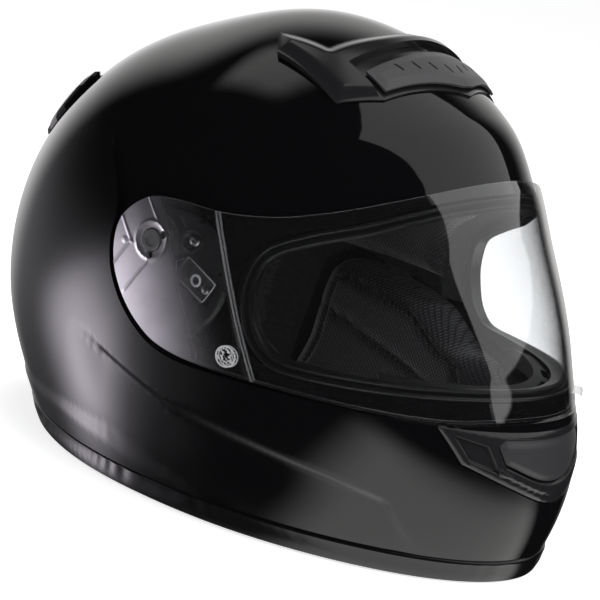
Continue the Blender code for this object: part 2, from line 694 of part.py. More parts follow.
def mirrored(outline, side):
    return [(side * x, z) for x, z in outline]


def make_strap(side, word, end, pad_end, materials):
    path = strap_path(end)
    half = STRAP_THICK / 2.0
    outline = mirrored(band(path, -half, half), side)
    low, high = STRAP_MIDDLE - STRAP_WIDTH / 2.0, STRAP_MIDDLE + STRAP_WIDTH / 2.0
    strap = finish_part(slab("strap_" + word, outline, low, high, FRONT_VIEW), materials["webbing"])
    cut(strap, as_tool(side_rod("strap_hole_" + word, side, RIVET, 100, 140, 2.8)))
    rest = [point for point in path if point[1] < 9.0 and point[0] > pad_end]
    pad_path = rest[:-1] + [(pad_end, STRAP_LOW)] if rest[-1][0] == end else rest + [(pad_end, STRAP_LOW)]
    outline = mirrored(band(pad_path, -half - 5.5, -half - GAP), side)
    finish_part(slab("strap_pad_" + word, outline, low - 6, high + 6, FRONT_VIEW), materials["lining cloth"])


def make_anchor(side, word, materials):
    plate = side_slab("strap_anchor_" + word, ANCHOR_PLATE, side, 108.4, 109.6)
    finish_part(plate, materials["steel"])
    cut(plate, as_tool(side_rod("anchor_hole_" + word, side, RIVET, 100, 140, 2.8)))
    rivet = side_rod("strap_rivet_" + word, side, RIVET, 107.9, 115.4, 2.4, 12)
    finish_part(rivet, materials["steel"])
    join(rivet, as_tool(side_rod("rivet_head_" + word, side, RIVET, 107.1, 108.1, 4.6, 12)))


def make_buckle(materials):
    hinge_x, middle, hinge_z = BUCKLE_HINGE
    body = box("buckle_body", (3, middle - 12, 3.2), (46, middle + 12, 12.2))
    finish_part(body, materials["steel"])
    cut(body, as_tool(box("buckle_room", (1, middle - 10.4, 4.8), (48, middle + 10.4, 20))))
    pin_ends = ((hinge_x, middle - 12.6, hinge_z), (hinge_x, middle + 12.6, hinge_z))
    cut(body, as_tool(rod("buckle_pin_hole", *pin_ends, 1.8)))
    finish_part(rod("buckle_pin", *pin_ends, 1.5, 12), materials["steel"])
    low, high = middle - 9.8, middle + 9.8
    lever = box("buckle_lever", (hinge_x - 3, low, hinge_z - 0.4), (49, high, 12.4), BUCKLE_HINGE)
    finish_part(lever, materials["red plastic"])
    join(lever, as_tool(rod("lever_hub", (hinge_x, low, hinge_z), (hinge_x, high, hinge_z), 3.4)))
    cut(lever, as_tool(rod("lever_hole", *pin_ends, 1.8)))
    tongue = box("strap_tongue", (17.5, middle - 7, 5.2), (66, middle + 7, 7.2))
    finish_part(tongue, materials["dark plastic"])
    for number in range(8):
        x = 20.0 + 3.2 * number
        cut(tongue, as_tool(box(f"tooth_gap_{number + 1}", (x, middle - 9, 6.6), (x + 1.4, middle + 9, 9))))


# ---------------------------------------------------------------- assembly

def main():
    materials = {
        "gloss black": make_material("gloss_black", (0.006, 0.006, 0.007), 0.05),
        "matt dark grey": make_material("matt_dark_grey", (0.035, 0.035, 0.037), 0.45),
        "matt black": make_material("matt_black", (0.012, 0.012, 0.013), 0.55),
        "dark plastic": make_material("dark_plastic", (0.02, 0.02, 0.022), 0.35),
        "clear plastic": make_material("clear_plastic", (0.96, 0.97, 0.98), 0.02, clear=1.0),
        "rubber": make_material("rubber", (0.015, 0.015, 0.016), 0.6),
        "foam core": make_material("foam_core", (0.03, 0.03, 0.032), 0.85),
        "lining cloth": make_material("lining_cloth", (0.02, 0.02, 0.022), 0.9),
        "webbing": make_material("webbing", (0.012, 0.012, 0.013), 0.8),
        "steel": make_material("steel", (0.62, 0.62, 0.63), 0.3, metallic=1.0),
        "red plastic": make_material("red_plastic", (0.45, 0.02, 0.02), 0.4),
    }
    make_shell(materials)
    make_trim(materials)
    make_liner(materials)
    make_chin_liner(materials)
    make_crown_pad(materials)
    make_neck_roll(materials)
    make_seal(materials)
    make_deflector(materials)
    make_visor(materials)
    make_top_vent(materials)
    make_chin_vent(materials)
    for side, word in SIDES:
        make_cheek(side, word, materials)
        make_visor_base(side, word, materials)
        make_lock(side, word, materials)
        make_rear_vent(side, word, materials)
        make_anchor(side, word, materials)
    make_strap(RIGHT, "right", -2.5, 16.0, materials)
    make_strap(LEFT, "left", 66.5, 68.0, materials)
    make_buckle(materials)


clear_scene()
HELMET = new_collection("motorcycle_helmet")
TOOLS = new_collection("cutters", hidden=True)
main()
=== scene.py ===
"""Looks of the full-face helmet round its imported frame: skins, visor, vents, lining, strap and light.

Lengths are millimetres in the helmet's design frame until a mesh is made. Front is -Y and the wearer's right
is -X.
"""

import json
import math

import bmesh
import bpy
import numpy as np
from mathutils import Matrix, Vector


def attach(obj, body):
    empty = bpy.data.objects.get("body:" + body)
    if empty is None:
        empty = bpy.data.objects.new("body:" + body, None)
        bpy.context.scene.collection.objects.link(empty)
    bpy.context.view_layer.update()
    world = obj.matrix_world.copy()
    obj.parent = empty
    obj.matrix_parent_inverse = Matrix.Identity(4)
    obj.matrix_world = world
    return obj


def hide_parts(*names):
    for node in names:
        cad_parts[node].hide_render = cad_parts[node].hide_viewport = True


MM = 0.001
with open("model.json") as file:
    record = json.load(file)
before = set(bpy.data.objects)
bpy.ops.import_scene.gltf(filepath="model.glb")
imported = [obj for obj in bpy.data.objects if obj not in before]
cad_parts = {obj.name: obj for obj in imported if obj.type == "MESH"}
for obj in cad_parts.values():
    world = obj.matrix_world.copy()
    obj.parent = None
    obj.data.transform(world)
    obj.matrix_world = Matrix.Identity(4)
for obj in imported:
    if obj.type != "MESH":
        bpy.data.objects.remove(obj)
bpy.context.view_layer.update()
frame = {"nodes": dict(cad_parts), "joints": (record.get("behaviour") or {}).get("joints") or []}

# The envelope that every shell, liner and pad follows, as in the CAD model.
HALF_WIDTH = 127.0
PIVOT_Y = -12.0
PIVOT_Z = 134.0
ROUNDNESS = 1.94
PROFILE = (
    (-90, 236), (-68, 250), (-47, 232), (-27, 209), (-10, 173), (10, 146), (30, 137), (60, 125.5), (90, 121),
    (120, 120), (150, 136), (180, 159), (205, 176), (235, 191),
)
HINGES = {joint["name"]: joint for joint in frame["joints"]}
SHIFT_Y = HINGES["visor_hinge"]["pos_m"][1] / MM - PIVOT_Y

VISOR_SEAT = 3.4
VISOR_OUTSIDE = -0.2
VISOR_INSIDE = -2.6
SHELL_WALL = 4.0
TRIM_HEIGHT = 12.0

# Outlines: side ones are (y, z), front ones (x, z), top ones (x, y); a third value of 1 rounds the point.
VISOR_OUTLINE = (
    (-7, 155, 1), (-24, 157.2, 1), (-46, 157.5, 1), (-70, 161.5, 1), (-91, 169, 1), (-109, 178, 1),
    (-123, 186.5, 1), (-140, 199, 1), (-170, 222, 1), (-260, 290), (-260, 88), (-192, 86.5, 1),
    (-163, 82.5, 1), (-97, 81.5, 1), (-55, 81, 1), (-36, 82, 1), (-20, 86, 1), (-4, 97, 1),
    (7, 111, 1), (11.5, 126, 1), (10.5, 139, 1), (3, 149, 1),
)
SEAT_OUTLINE = (
    (-260, 86.3), (-192, 85.2, 1), (-163, 81.2, 1), (-97, 79.7, 1), (-55, 78.6, 1), (-35, 79.2, 1),
    (-18.5, 83.5, 1), (-1.5, 95.2, 1), (9.6, 109.8, 1), (14.3, 126, 1), (14.5, 142, 1), (20, 154, 1),
    (34, 170, 1), (60, 215), (60, 320), (-260, 320),
)
OPENING = (
    (-62, 127, 1), (-66, 144, 1), (-81, 155.5, 1), (-103, 167, 1), (-126, 182, 1), (-150, 197, 1),
    (-260, 270), (-260, 93.2), (-190, 93, 1), (-140, 89.5, 1), (-102, 88, 1), (-84, 89.5, 1), (-72, 98, 1),
    (-65, 111, 1),
)
BASE_OUTLINE = (
    (7, 134, 1), (4, 143.5, 1), (-3, 149.5, 1), (-15, 152, 1), (-36, 151.5, 1), (-50, 141, 1), (-58, 121, 1),
    (-53, 103, 1), (-42, 92.5, 1), (-29, 90.5, 1), (-14, 95.5, 1), (-1, 107, 1), (5.5, 120, 1),
)
LOCK_OUTLINE = ((-31.3, 131.2), (-25.5, 119.0), (-45.1, 110.5), (-51.0, 121.8))
LOCK_PIN = (-45.2, 117.6)
SCREWS = ((-21.0, 103.0), (-33.0, 139.5))
CHEEK_OUTLINE = (
    (-116, 20, 1), (-116, 64, 1), (-104, 82, 1), (-86, 87, 1), (-72, 95, 1), (-58, 103, 1), (-30, 108, 1),
    (6, 110, 1), (17, 98, 1), (18, 60, 1), (16, 20, 1),
)
CHIN_FRAME = (
    (-71, 80.5), (-60, 63.5), (-34, 53, 1), (-8, 44.5, 1), (8, 44.5, 1), (34, 53, 1), (60, 63.5), (71, 80.5),
)
CHIN_WINDOW = (
    (-43, 73.5), (-38, 63.5), (-12, 55, 1), (12, 55, 1), (38, 63.5), (43, 73.5), (38, 77.5), (-38, 77.5),
)
CHIN_SIDE = ((-64, 77.5), (-56.5, 65.5), (-41.5, 60.5), (-48, 73.5))
VENT_OUTLINE = (
    (0, -99), (-56, -83), (-75, -68), (-72, -26), (-60, -17), (-55, -44), (-20, -52, 1), (20, -52, 1),
    (55, -44), (60, -17), (72, -26), (75, -68), (56, -83),
)
VENT_SLOT = ((0, -104), (-57, -87), (-57, -58), (-26, -62, 1), (26, -62, 1), (57, -58), (57, -87))
SLIDER_OUTLINE = (
    (0, -96.2), (-53.6, -80.7), (-53.6, -67.3), (-24, -70.3, 1), (24, -70.3, 1), (53.6, -67.3),
    (53.6, -80.7),
)
# Floors of the sunk places in the skins, as offsets from the envelope.
CHIN_RECESS, WELL_FLOOR, LOCK_ROOM_FLOOR, BASE_BACK = -2.9, -9.6, -7.2, -9.3
LINER_OUTSIDE, LINER_INSIDE = 3.9, -34.0
CHEEK_OUTSIDE, CHEEK_INSIDE = -16.2, -47.5
CROWN_OUTSIDE, CROWN_INSIDE, CROWN_BOTTOM = -34.6, -43.0, 118.0
NECK_BOTTOM, NECK_TOP, NECK_FRONT = 13.5, 33.5, 23.0
CHIN_LINER_BOTTOM, CHIN_LINER_TOP, CHIN_LINER_BACK = 14.0, 84.0, -119.0
SHELL_BOTTOM = 7.0
LOCK_FLOOR = 118.9
BOSS_FOOT = 116.5
MARK = (-65.0, 89.5)


# ---------------------------------------------------------------- envelope in arrays

def smooth(t):
    t = np.clip(t, 0.0, 1.0)
    return t * t * (3.0 - 2.0 * t)


def ridge(away, width):
    """1 on a line and falling to 0 within about two widths of it."""
    return np.exp(-((away / width) ** 2))


def reach(angle):
    """Reach of the middle section at angles in degrees, through PROFILE's points with even tangents."""
    angles = np.array([knot[0] for knot in PROFILE], float)
    reaches = np.array([knot[1] for knot in PROFILE], float)
    angles = np.concatenate([angles[-2:] - 360.0, angles, angles[:3] + 360.0])
    reaches = np.concatenate([reaches[-2:], reaches, reaches[:3]])
    angle = (np.asarray(angle, float) + 90.0) % 360.0 - 90.0
    i = np.clip(np.searchsorted(angles, angle, side="right") - 1, 1, len(angles) - 3)
    span = angles[i + 1] - angles[i]
    t = (angle - angles[i]) / span
    slope1 = (reaches[i + 1] - reaches[i - 1]) / (angles[i + 1] - angles[i - 1]) * span
    slope2 = (reaches[i + 2] - reaches[i]) / (angles[i + 2] - angles[i]) * span
    return (
        (2 * t**3 - 3 * t**2 + 1) * reaches[i] + (t**3 - 2 * t**2 + t) * slope1
        + (3 * t**2 - 2 * t**3) * reaches[i + 1] + (t**3 - t**2) * slope2
    )


def envelope_point(angle, turn, offset=0.0):
    """Points of the envelope moved out by offset.

    angle goes round the pivot axis, and turn runs from -90 to 90 across it.
    """
    sine, cosine = np.sin(np.radians(turn)), np.cos(np.radians(turn))
    x = (HALF_WIDTH + offset) * np.sign(sine) * np.abs(sine) ** (2.0 / ROUNDNESS)
    radial = (reach(angle) + offset) * np.maximum(cosine, 0.0) ** (2.0 / ROUNDNESS)
    y = PIVOT_Y - radial * np.cos(np.radians(angle))
    z = PIVOT_Z + radial * np.sin(np.radians(angle))
    return np.stack([x, y, z], -1)


def envelope_x(y, z, offset):
    forward, up = PIVOT_Y - y, z - PIVOT_Z
    share = np.hypot(forward, up) / (reach(np.degrees(np.arctan2(up, forward))) + offset)
    return (HALF_WIDTH + offset) * np.maximum(0.0, 1.0 - share**ROUNDNESS) ** (1.0 / ROUNDNESS)


def front_y(x, z, offset):
    """Y of the envelope's front, moved out by offset, at a distance x from the middle and a height z."""
    near, far = PIVOT_Y, PIVOT_Y - 300.0
    for _ in range(40):
        y = (near + far) / 2.0
        if envelope_x(y, z, offset) > abs(x):
            near = y
        else:
            far = y
    return near


def visor_top(y):
    return 157.0 + 0.0048 * np.maximum(0.0, -45.0 - y) ** 2


def seat_floor(p):
    """Offset of the visor's seat, which eases out over the brow and round the pivot."""
    y, z = p[..., 1], p[..., 2]
    length = np.clip(45.0 * (12.0 - y) / 60.0, 8.0, 45.0)
    from_brow = smooth((z - visor_top(y)) / length)
    from_pivot = smooth((np.hypot(y - PIVOT_Y, z - PIVOT_Z) - 42.0) / 26.0)
    return -VISOR_SEAT * (1.0 - np.minimum(from_brow, from_pivot))


def wall_inside(p):
    y, z = p[..., 1], p[..., 2]
    deep = (1.0 - smooth((y - 35.0) / 50.0)) * (1.0 - smooth((z - visor_top(y) - 45.0) / 40.0))
    return -SHELL_WALL - VISOR_SEAT * deep


# ---------------------------------------------------------------- outlines

def traced(outline, step=2.0, closed=True):
    """Points along an outline: rounded where a point says so, straight to its corners."""
    points = [np.array(point[:2], float) for point in outline]
    count = len(points)
    tangents = []
    for i, source in enumerate(outline):
        before, after = points[i - 1], points[(i + 1) % count]
        tangents.append((after - before) if len(source) == 3 else None)
    dense = []
    for i in range(count if closed else count - 1):
        j = (i + 1) % count
        chord = points[j] - points[i]
        length = np.linalg.norm(chord)

        def scaled(tangent):
            if tangent is None:
                return chord
            return tangent / max(np.linalg.norm(tangent), 1e-9) * length

        start, end = scaled(tangents[i]), scaled(tangents[j])
        steps = max(1, int(length / step)) if (tangents[i] is not None or tangents[j] is not None) else 1
        for t in np.arange(steps) / steps:
            dense.append(
                (2 * t**3 - 3 * t**2 + 1) * points[i] + (t**3 - 2 * t**2 + t) * start
                + (3 * t**2 - 2 * t**3) * points[j] + (t**3 - t**2) * end
            )
    return np.array(dense)


def inside_distance(loop, a, b):
    """Distance from points (a, b) to a closed loop, positive inside it."""
    shape = a.shape
    p = np.stack([a.ravel(), b.ravel()], -1)
    best = np.full(len(p), np.inf)
    crossings = np.zeros(len(p), int)
    for start, end in zip(loop, np.roll(loop, -1, axis=0)):
        line = end - start
        along = np.clip(((p - start) @ line) / max(line @ line, 1e-12), 0.0, 1.0)
        gap = p - start - along[:, None] * line
        best = np.minimum(best, (gap**2).sum(1))
        crosses = (start[1] > p[:, 1]) != (end[1] > p[:, 1])
        if crosses.any():
            where = start[0] + (p[:, 1] - start[1]) * line[0] / (line[1] if abs(line[1]) > 1e-12 else 1e-12)
            crossings += crosses & (p[:, 0] < where)
    best = np.sqrt(best)
    return np.where(crossings % 2 == 1, best, -best).reshape(shape)


def side_field(outline, grow=0.0):
    loop = traced(outline)
    return lambda p: inside_distance(loop, p[..., 1], p[..., 2]) + grow


def front_field(outline, grow=0.0):
    loop = traced(outline)
    return lambda p: inside_distance(loop, p[..., 0], p[..., 2]) + grow


def top_field(outline, grow=0.0):
    loop = traced(outline)
    return lambda p: inside_distance(loop, p[..., 0], p[..., 1]) + grow


def at_sides(field, side=0):
    """A field that holds only on the helmet's sides, or on one of them."""
    across = (lambda p: side * p[..., 0]) if side else (lambda p: np.abs(p[..., 0]))
    return lambda p: np.where(across(p) > 60.0, field(p), -50.0)


def at_front(field):
    return lambda p: np.where(p[..., 1] < -120.0, field(p), -50.0)


# ---------------------------------------------------------------- skins on the envelope

class Grid:
    """A patch of the envelope as rows of (angle, turn), whose points can be moved onto outlines."""

    def __init__(self, angles, turns, wraps=False, base=0.0):
        self.base = base
        self.angle, self.turn = np.meshgrid(angles, turns, indexing="ij")
        row_step = np.full(len(angles), angles[1] - angles[0])
        self.row_step, self.column_step = np.meshgrid(row_step, np.gradient(turns), indexing="ij")
        self.wraps = wraps
        self.snapped = np.zeros(self.angle.shape, bool)
        rows, columns = self.angle.shape
        index = np.arange(rows * columns).reshape(rows, columns)
        if wraps:
            index = np.concatenate([index, index[:1]])
        a, b, c, d = index[:-1, :-1], index[1:, :-1], index[1:, 1:], index[:-1, 1:]
        self.faces = np.stack([a.ravel(), b.ravel(), c.ravel(), d.ravel()], -1)

    def points(self):
        return envelope_point(self.angle, self.turn, self.base)

    def snap(self, field):
        """Moves the points next to the field's zero line onto it. Returns the field's signs: -1, 0 or 1."""
        values = field(self.points())
        move = np.zeros(values.shape, bool)
        rows, columns = values.shape
        for down, along in ((1, 0), (0, 1)):
            wraps = self.wraps and down == 1
            here = values if wraps else values[: rows - down, : columns - along]
            there = np.roll(values, -1, axis=0) if wraps else values[down:, along:]
            crosses = (here > 0) != (there > 0)
            near_here = crosses & (np.abs(here) <= np.abs(there))
            near_there = crosses & ~near_here
            if wraps:
                move |= near_here | np.roll(near_there, 1, axis=0)
            else:
                move[: rows - down, : columns - along] |= near_here
                move[down:, along:] |= near_there
        around = np.concatenate([values[-1:], values, values[:1]]) if self.wraps else values
        slope_down = np.gradient(around, axis=0)
        slope_down = slope_down[1:-1] if self.wraps else slope_down
        slope_along = np.gradient(values, axis=1)
        free = move & ~self.snapped
        size = np.maximum(slope_down[free] ** 2 + slope_along[free] ** 2, 1e-6)
        angle, turn, current = self.angle[free], self.turn[free], values[free]
        for _ in range(3):
            angle = angle - np.clip(current * slope_down[free] / size, -0.7, 0.7) * self.row_step[free]
            turn = turn - np.clip(current * slope_along[free] / size, -0.7, 0.7) * self.column_step[free]
            turn = np.clip(turn, -90.0, 90.0)
            current = field(envelope_point(angle, turn, self.base))
        self.angle[free], self.turn[free] = angle, turn
        signs = np.where(values > 0, 1, -1)
        signs[move] = 0
        self.snapped |= move
        return signs

    def split(self, faces, field):
        """Faces inside the field's zero line and faces outside it, after snap."""
        flat = self.snap(field).ravel()
        corner = flat[faces]
        plus, minus = (corner > 0).any(1), (corner < 0).any(1)
        undecided = ~plus & ~minus
        if undecided.any():
            middle = self.points().reshape(-1, 3)[faces[undecided]].mean(1)
            inner = field(middle) > 0
            plus[undecided] = inner
            minus[undecided] = ~inner
        inside, outside = [faces[plus & ~minus]], [faces[minus & ~plus]]
        mixed = faces[plus & minus]
        values = flat[mixed]
        for first, second, third in ((0, 1, 2), (2, 3, 0), (1, 2, 3), (3, 0, 1)):
            on_line = (values[:, first] == 0) & (values[:, third] == 0)
            triangle = np.stack([mixed[:, first], mixed[:, second], mixed[:, third], mixed[:, third]], -1)
            inside.append(triangle[on_line & (values[:, second] > 0)])
            outside.append(triangle[on_line & (values[:, second] < 0)])
        return np.concatenate(inside), np.concatenate(outside)

    def keep(self, faces, *fields):
        for field in fields:
            faces = self.split(faces, field)[0]
        return faces

    def drop(self, faces, *fields):
        for field in fields:
            faces = self.split(faces, field)[1]
        return faces


def whole_grid(rows=480, middle_step=1.0, end_step=0.5, base=0.0):
    """A grid over the whole envelope, finer round the visor's pivots."""
    turns = np.concatenate([
        np.arange(-90, -70, end_step), np.arange(-70, 70, middle_step),
        np.arange(70, 90 + end_step / 2, end_step),
    ])
    return Grid(np.arange(rows) * 360.0 / rows - 90.0, turns, wraps=True, base=base)


def patch_grid(angles, turns, step, base=0.0):
    """A fine grid between two angles and two turns."""
    return Grid(np.arange(*angles, step), np.arange(*turns, step), base=base)


def border_of(faces):
    """Directed edges that only one face has."""
    edges = np.concatenate([faces[:, [0, 1]], faces[:, [1, 2]], faces[:, [2, 3]], faces[:, [3, 0]]])
    edges = edges[edges[:, 0] != edges[:, 1]]
    key = edges.min(1).astype(np.int64) * (faces.max() + 1) + edges.max(1)
    _, first, counts = np.unique(key, return_index=True, return_counts=True)
    return edges[first[counts == 1]]


def edge_keys(edges):
    return edges.min(1).astype(np.int64) * 10_000_000 + edges.max(1)


def make_object(name, points, faces, material, smooth_angle=35.0, caps=None):
    """An object from design-frame millimetres. Faces are rows of four corners; a triangle repeats its last.

    caps is the number of points in a section, where the first and last sections are closed with a face.
    """
    points = np.array(points, float)
    points[:, 1] += SHIFT_Y
    used, packed = np.unique(faces, return_inverse=True)
    packed = packed.reshape(faces.shape)
    rows = []
    for row in packed.tolist():
        corners = [corner for i, corner in enumerate(row) if corner != row[i - 1]]
        if len(corners) > 2:
            rows.append(corners)
    if caps:
        count = len(used)
        rows += [list(range(caps)), list(range(count - caps, count))]
    mesh = bpy.data.meshes.new(name)
    mesh.from_pydata((points[used] * MM).tolist(), [], rows)
    return finish_mesh(name, mesh, material, smooth_angle)


def finish_mesh(name, mesh, material, smooth_angle=35.0):
    bm = bmesh.new()
    bm.from_mesh(mesh)
    bmesh.ops.remove_doubles(bm, verts=bm.verts, dist=2e-6)
    bmesh.ops.dissolve_degenerate(bm, edges=bm.edges, dist=1e-7)
    bm.normal_update()
    bmesh.ops.recalc_face_normals(bm, faces=bm.faces)
    bm.to_mesh(mesh)
    bm.free()
    mesh.materials.append(material)
    mesh.shade_smooth()
    mesh.set_sharp_from_angle(angle=math.radians(smooth_angle))
    obj = bpy.data.objects.new(name, mesh)
    bpy.context.scene.collection.objects.link(obj)
    return obj


def closed_skin(name, grid, faces, outer, inner, material, smooth_angle=35.0):
    """A closed wall between two offsets over the given faces of a grid."""
    top, bottom = layer_points(grid, outer), layer_points(grid, inner)
    count = len(top)
    border = border_of(faces)
    walls = np.stack([border[:, 1], border[:, 0], border[:, 0] + count, border[:, 1] + count], -1)
    every = np.concatenate([faces, faces[:, ::-1] + count, walls])
    return make_object(name, np.concatenate([top, bottom]), every, material, smooth_angle)


def stepped_skin(name, grid, levels, inner, material, smooth_angle=35.0):
    """A closed wall whose outer face has levels, as (faces, offset) pairs, with steps between them."""
    layers = [layer_points(grid, offset) for _, offset in levels] + [layer_points(grid, inner)]
    count, under = len(layers[0]), (len(layers) - 1) * len(layers[0])
    borders = [border_of(faces) for faces, _ in levels]
    keys = [edge_keys(border) for border in borders]
    every = [faces + i * count for i, (faces, _) in enumerate(levels)]
    every += [faces[:, ::-1] + under for faces, _ in levels]
    for i, border in enumerate(borders):
        free = np.ones(len(border), bool)
        for j, other in enumerate(keys):
            if i == j:
                continue
            shared = np.isin(keys[i], other)
            free &= ~shared
            if i < j:
                a, b = border[shared].T
                every.append(np.stack([b + i * count, a + i * count, a + j * count, b + j * count], -1))
        a, b = border[free].T
        every.append(np.stack([b + i * count, a + i * count, a + under, b + under], -1))
    return make_object(name, np.concatenate(layers), np.concatenate(every), material, smooth_angle)


def soften(obj, width, segments=2, angle=40.0, edge=None):
    """Rounds the object's sharp edges, which can take a material of their own."""
    bevel = obj.modifiers.new("Bevel", "BEVEL")
    bevel.width = width * MM
    bevel.segments = segments
    bevel.limit_method = "ANGLE"
    bevel.angle_limit = math.radians(angle)
    bevel.use_clamp_overlap = True
    if edge is not None:
        obj.data.materials.append(edge)
        bevel.material = 1
    return obj


def layer_points(grid, offset):
    base = grid.points()
    extra = offset(base) if callable(offset) else np.full(base.shape[:2], float(offset))
    return envelope_point(grid.angle, grid.turn, extra).reshape(-1, 3)


# ---------------------------------------------------------------- curves and sweeps on the envelope

def even_loop(points, count, closed=True):
    """Points spaced evenly along a line through the given ones."""
    points = np.asarray(points, float)
    if closed:
        points = np.concatenate([points, points[:1]])
    steps = np.linalg.norm(np.diff(points, axis=0), axis=1)
    along = np.concatenate([[0.0], np.cumsum(steps)])
    wanted = np.linspace(0.0, along[-1], count, endpoint=not closed)
    return np.stack([np.interp(wanted, along, points[:, axis]) for axis in range(3)], -1)


def side_loop(outline, offset, count):
    """Closed line where a side outline that runs off the front crosses the envelope, both sides joined."""
    loop = traced(outline, step=0.5)
    half = envelope_x(loop[:, 0], loop[:, 1], offset)
    on_shape = half > 0.0
    start = int(np.argmax(~on_shape))
    loop, half = np.roll(loop, -start, axis=0), np.roll(half, -start)
    keep = half > 0.0
    loop, half = loop[keep], half[keep]
    left = np.stack([half, loop[:, 0], loop[:, 1]], -1)
    right = left[::-1] * np.array([-1.0, 1.0, 1.0])
    return even_loop(np.concatenate([left, right]), count)


def outward(points):
    """Directions straight out of the envelope at points."""
    def level(p):
        forward, up = PIVOT_Y - p[:, 1], p[:, 2] - PIVOT_Z
        share = np.hypot(forward, up) / reach(np.degrees(np.arctan2(up, forward)))
        return np.abs(p[:, 0] / HALF_WIDTH) ** ROUNDNESS + share**ROUNDNESS

    normal = np.zeros_like(points)
    for axis in range(3):
        step = np.zeros(3)
        step[axis] = 0.5
        normal[:, axis] = level(points + step) - level(points - step)
    return normal / np.linalg.norm(normal, axis=1, keepdims=True)


def swept(name, path, section, material, normals=None, smooth_angle=50.0, closed=True, towards=None):
    """A closed section swept along a path. Section points are (sideways, outwards) in mm.

    Sideways is turned to point towards the given point.
    """
    path = np.asarray(path, float)
    count = len(path)
    ahead = np.roll(path, -1, axis=0) - np.roll(path, 1, axis=0)
    if not closed:
        ahead[0], ahead[-1] = path[1] - path[0], path[-1] - path[-2]
    ahead /= np.linalg.norm(ahead, axis=1, keepdims=True)
    normals = outward(path) if normals is None else np.broadcast_to(np.asarray(normals, float), path.shape)
    sideways = np.cross(normals, ahead)
    sideways /= np.linalg.norm(sideways, axis=1, keepdims=True)
    out = np.cross(ahead, sideways)
    if towards is not None and ((np.asarray(towards, float) - path) * sideways).sum() < 0.0:
        sideways = -sideways
    section = np.asarray(section, float)
    rings = path[:, None] + sideways[:, None] * section[None, :, :1] + out[:, None] * section[None, :, 1:]
    width = len(section)
    index = np.arange(count * width).reshape(count, width)
    if closed:
        index = np.concatenate([index, index[:1]])
    index = np.concatenate([index, index[:, :1]], 1)
    faces = np.stack([index[:-1, :-1], index[1:, :-1], index[1:, 1:], index[:-1, 1:]], -1).reshape(-1, 4)
    return make_object(name, rings.reshape(-1, 3), faces, material, smooth_angle, None if closed else width)


def turned(name, centre, axis, profile, material, count=48, smooth_angle=40.0):
    """A profile of (radius, height) turned about an axis through a centre."""
    axis = Vector(axis).normalized()
    turn = np.array(Vector((0, 0, 1)).rotation_difference(axis).to_matrix())
    around = np.arange(count) * 2 * math.pi / count
    points, rows = [], len(profile)
    for radius, height in profile:
        ring = np.stack([np.cos(around) * radius, np.sin(around) * radius, np.full(count, height)], -1)
        points.append(ring @ turn.T + np.asarray(centre, float))
    index = np.arange(rows * count).reshape(rows, count)
    index = np.concatenate([index, index[:, :1]], 1)
    faces = np.stack([index[:-1, :-1], index[1:, :-1], index[1:, 1:], index[:-1, 1:]], -1).reshape(-1, 4)
    return make_object(name, np.concatenate(points), faces, material, smooth_angle)


def slab(name, outline, place, thickness, material, bevel=0.25, edge=None):
    """A flat outline given thickness. place(u, v, w) maps outline and height to design points."""
    loop = np.asarray(outline, float)
    count = len(loop)
    low = np.array([place(u, v, 0.0) for u, v in loop])
    high = np.array([place(u, v, thickness) for u, v in loop])
    points = np.concatenate([low, high])
    points[:, 1] += SHIFT_Y
    mesh = bpy.data.meshes.new(name)
    sides = [(i, (i + 1) % count, (i + 1) % count + count, i + count) for i in range(count)]
    ends = [tuple(range(count))[::-1], tuple(range(count, 2 * count))]
    mesh.from_pydata((points * MM).tolist(), [], sides + ends)
    return soften(finish_mesh(name, mesh, material), bevel, edge=edge)


# ---------------------------------------------------------------- materials

class Nodes:
    """Short ways to add nodes to a node tree."""

    def __init__(self, tree):
        self.tree = tree

    def node(self, kind, **settings):
        node = self.tree.nodes.new(kind)
        for key, value in settings.items():
            setattr(node, key, value)
        return node

    def link(self, source, target):
        self.tree.links.new(source, target)

    def fill(self, socket, value):
        """Sets a socket to a number, or links it to another socket."""
        if isinstance(value, (int, float)):
            socket.default_value = value
        else:
            self.link(value, socket)

    def math(self, operation, *values):
        node = self.node("ShaderNodeMath", operation=operation)
        for socket, value in zip(node.inputs, values):
            self.fill(socket, value)
        return node.outputs[0]

    def eased(self, value, start, end):
        """0 below start and 1 above end, eased between them."""
        node = self.node("ShaderNodeMapRange", interpolation_type="SMOOTHSTEP")
        self.link(value, node.inputs["Value"])
        node.inputs["From Min"].default_value = start
        node.inputs["From Max"].default_value = end
        return node.outputs["Result"]

    def outside(self, value, start, end):
        """1 below start and 0 above end, eased between them."""
        return self.math("SUBTRACT", 1.0, self.eased(value, start, end))

    def product(self, *values):
        total = values[0]
        for value in values[1:]:
            total = self.math("MULTIPLY", total, value)
        return total

    def mixed(self, share, below, above):
        """Two shaders mixed by a share."""
        mix = self.node("ShaderNodeMixShader")
        self.fill(mix.inputs["Fac"], share)
        self.link(below.outputs[0], mix.inputs[1])
        self.link(above.outputs[0], mix.inputs[2])
        return mix


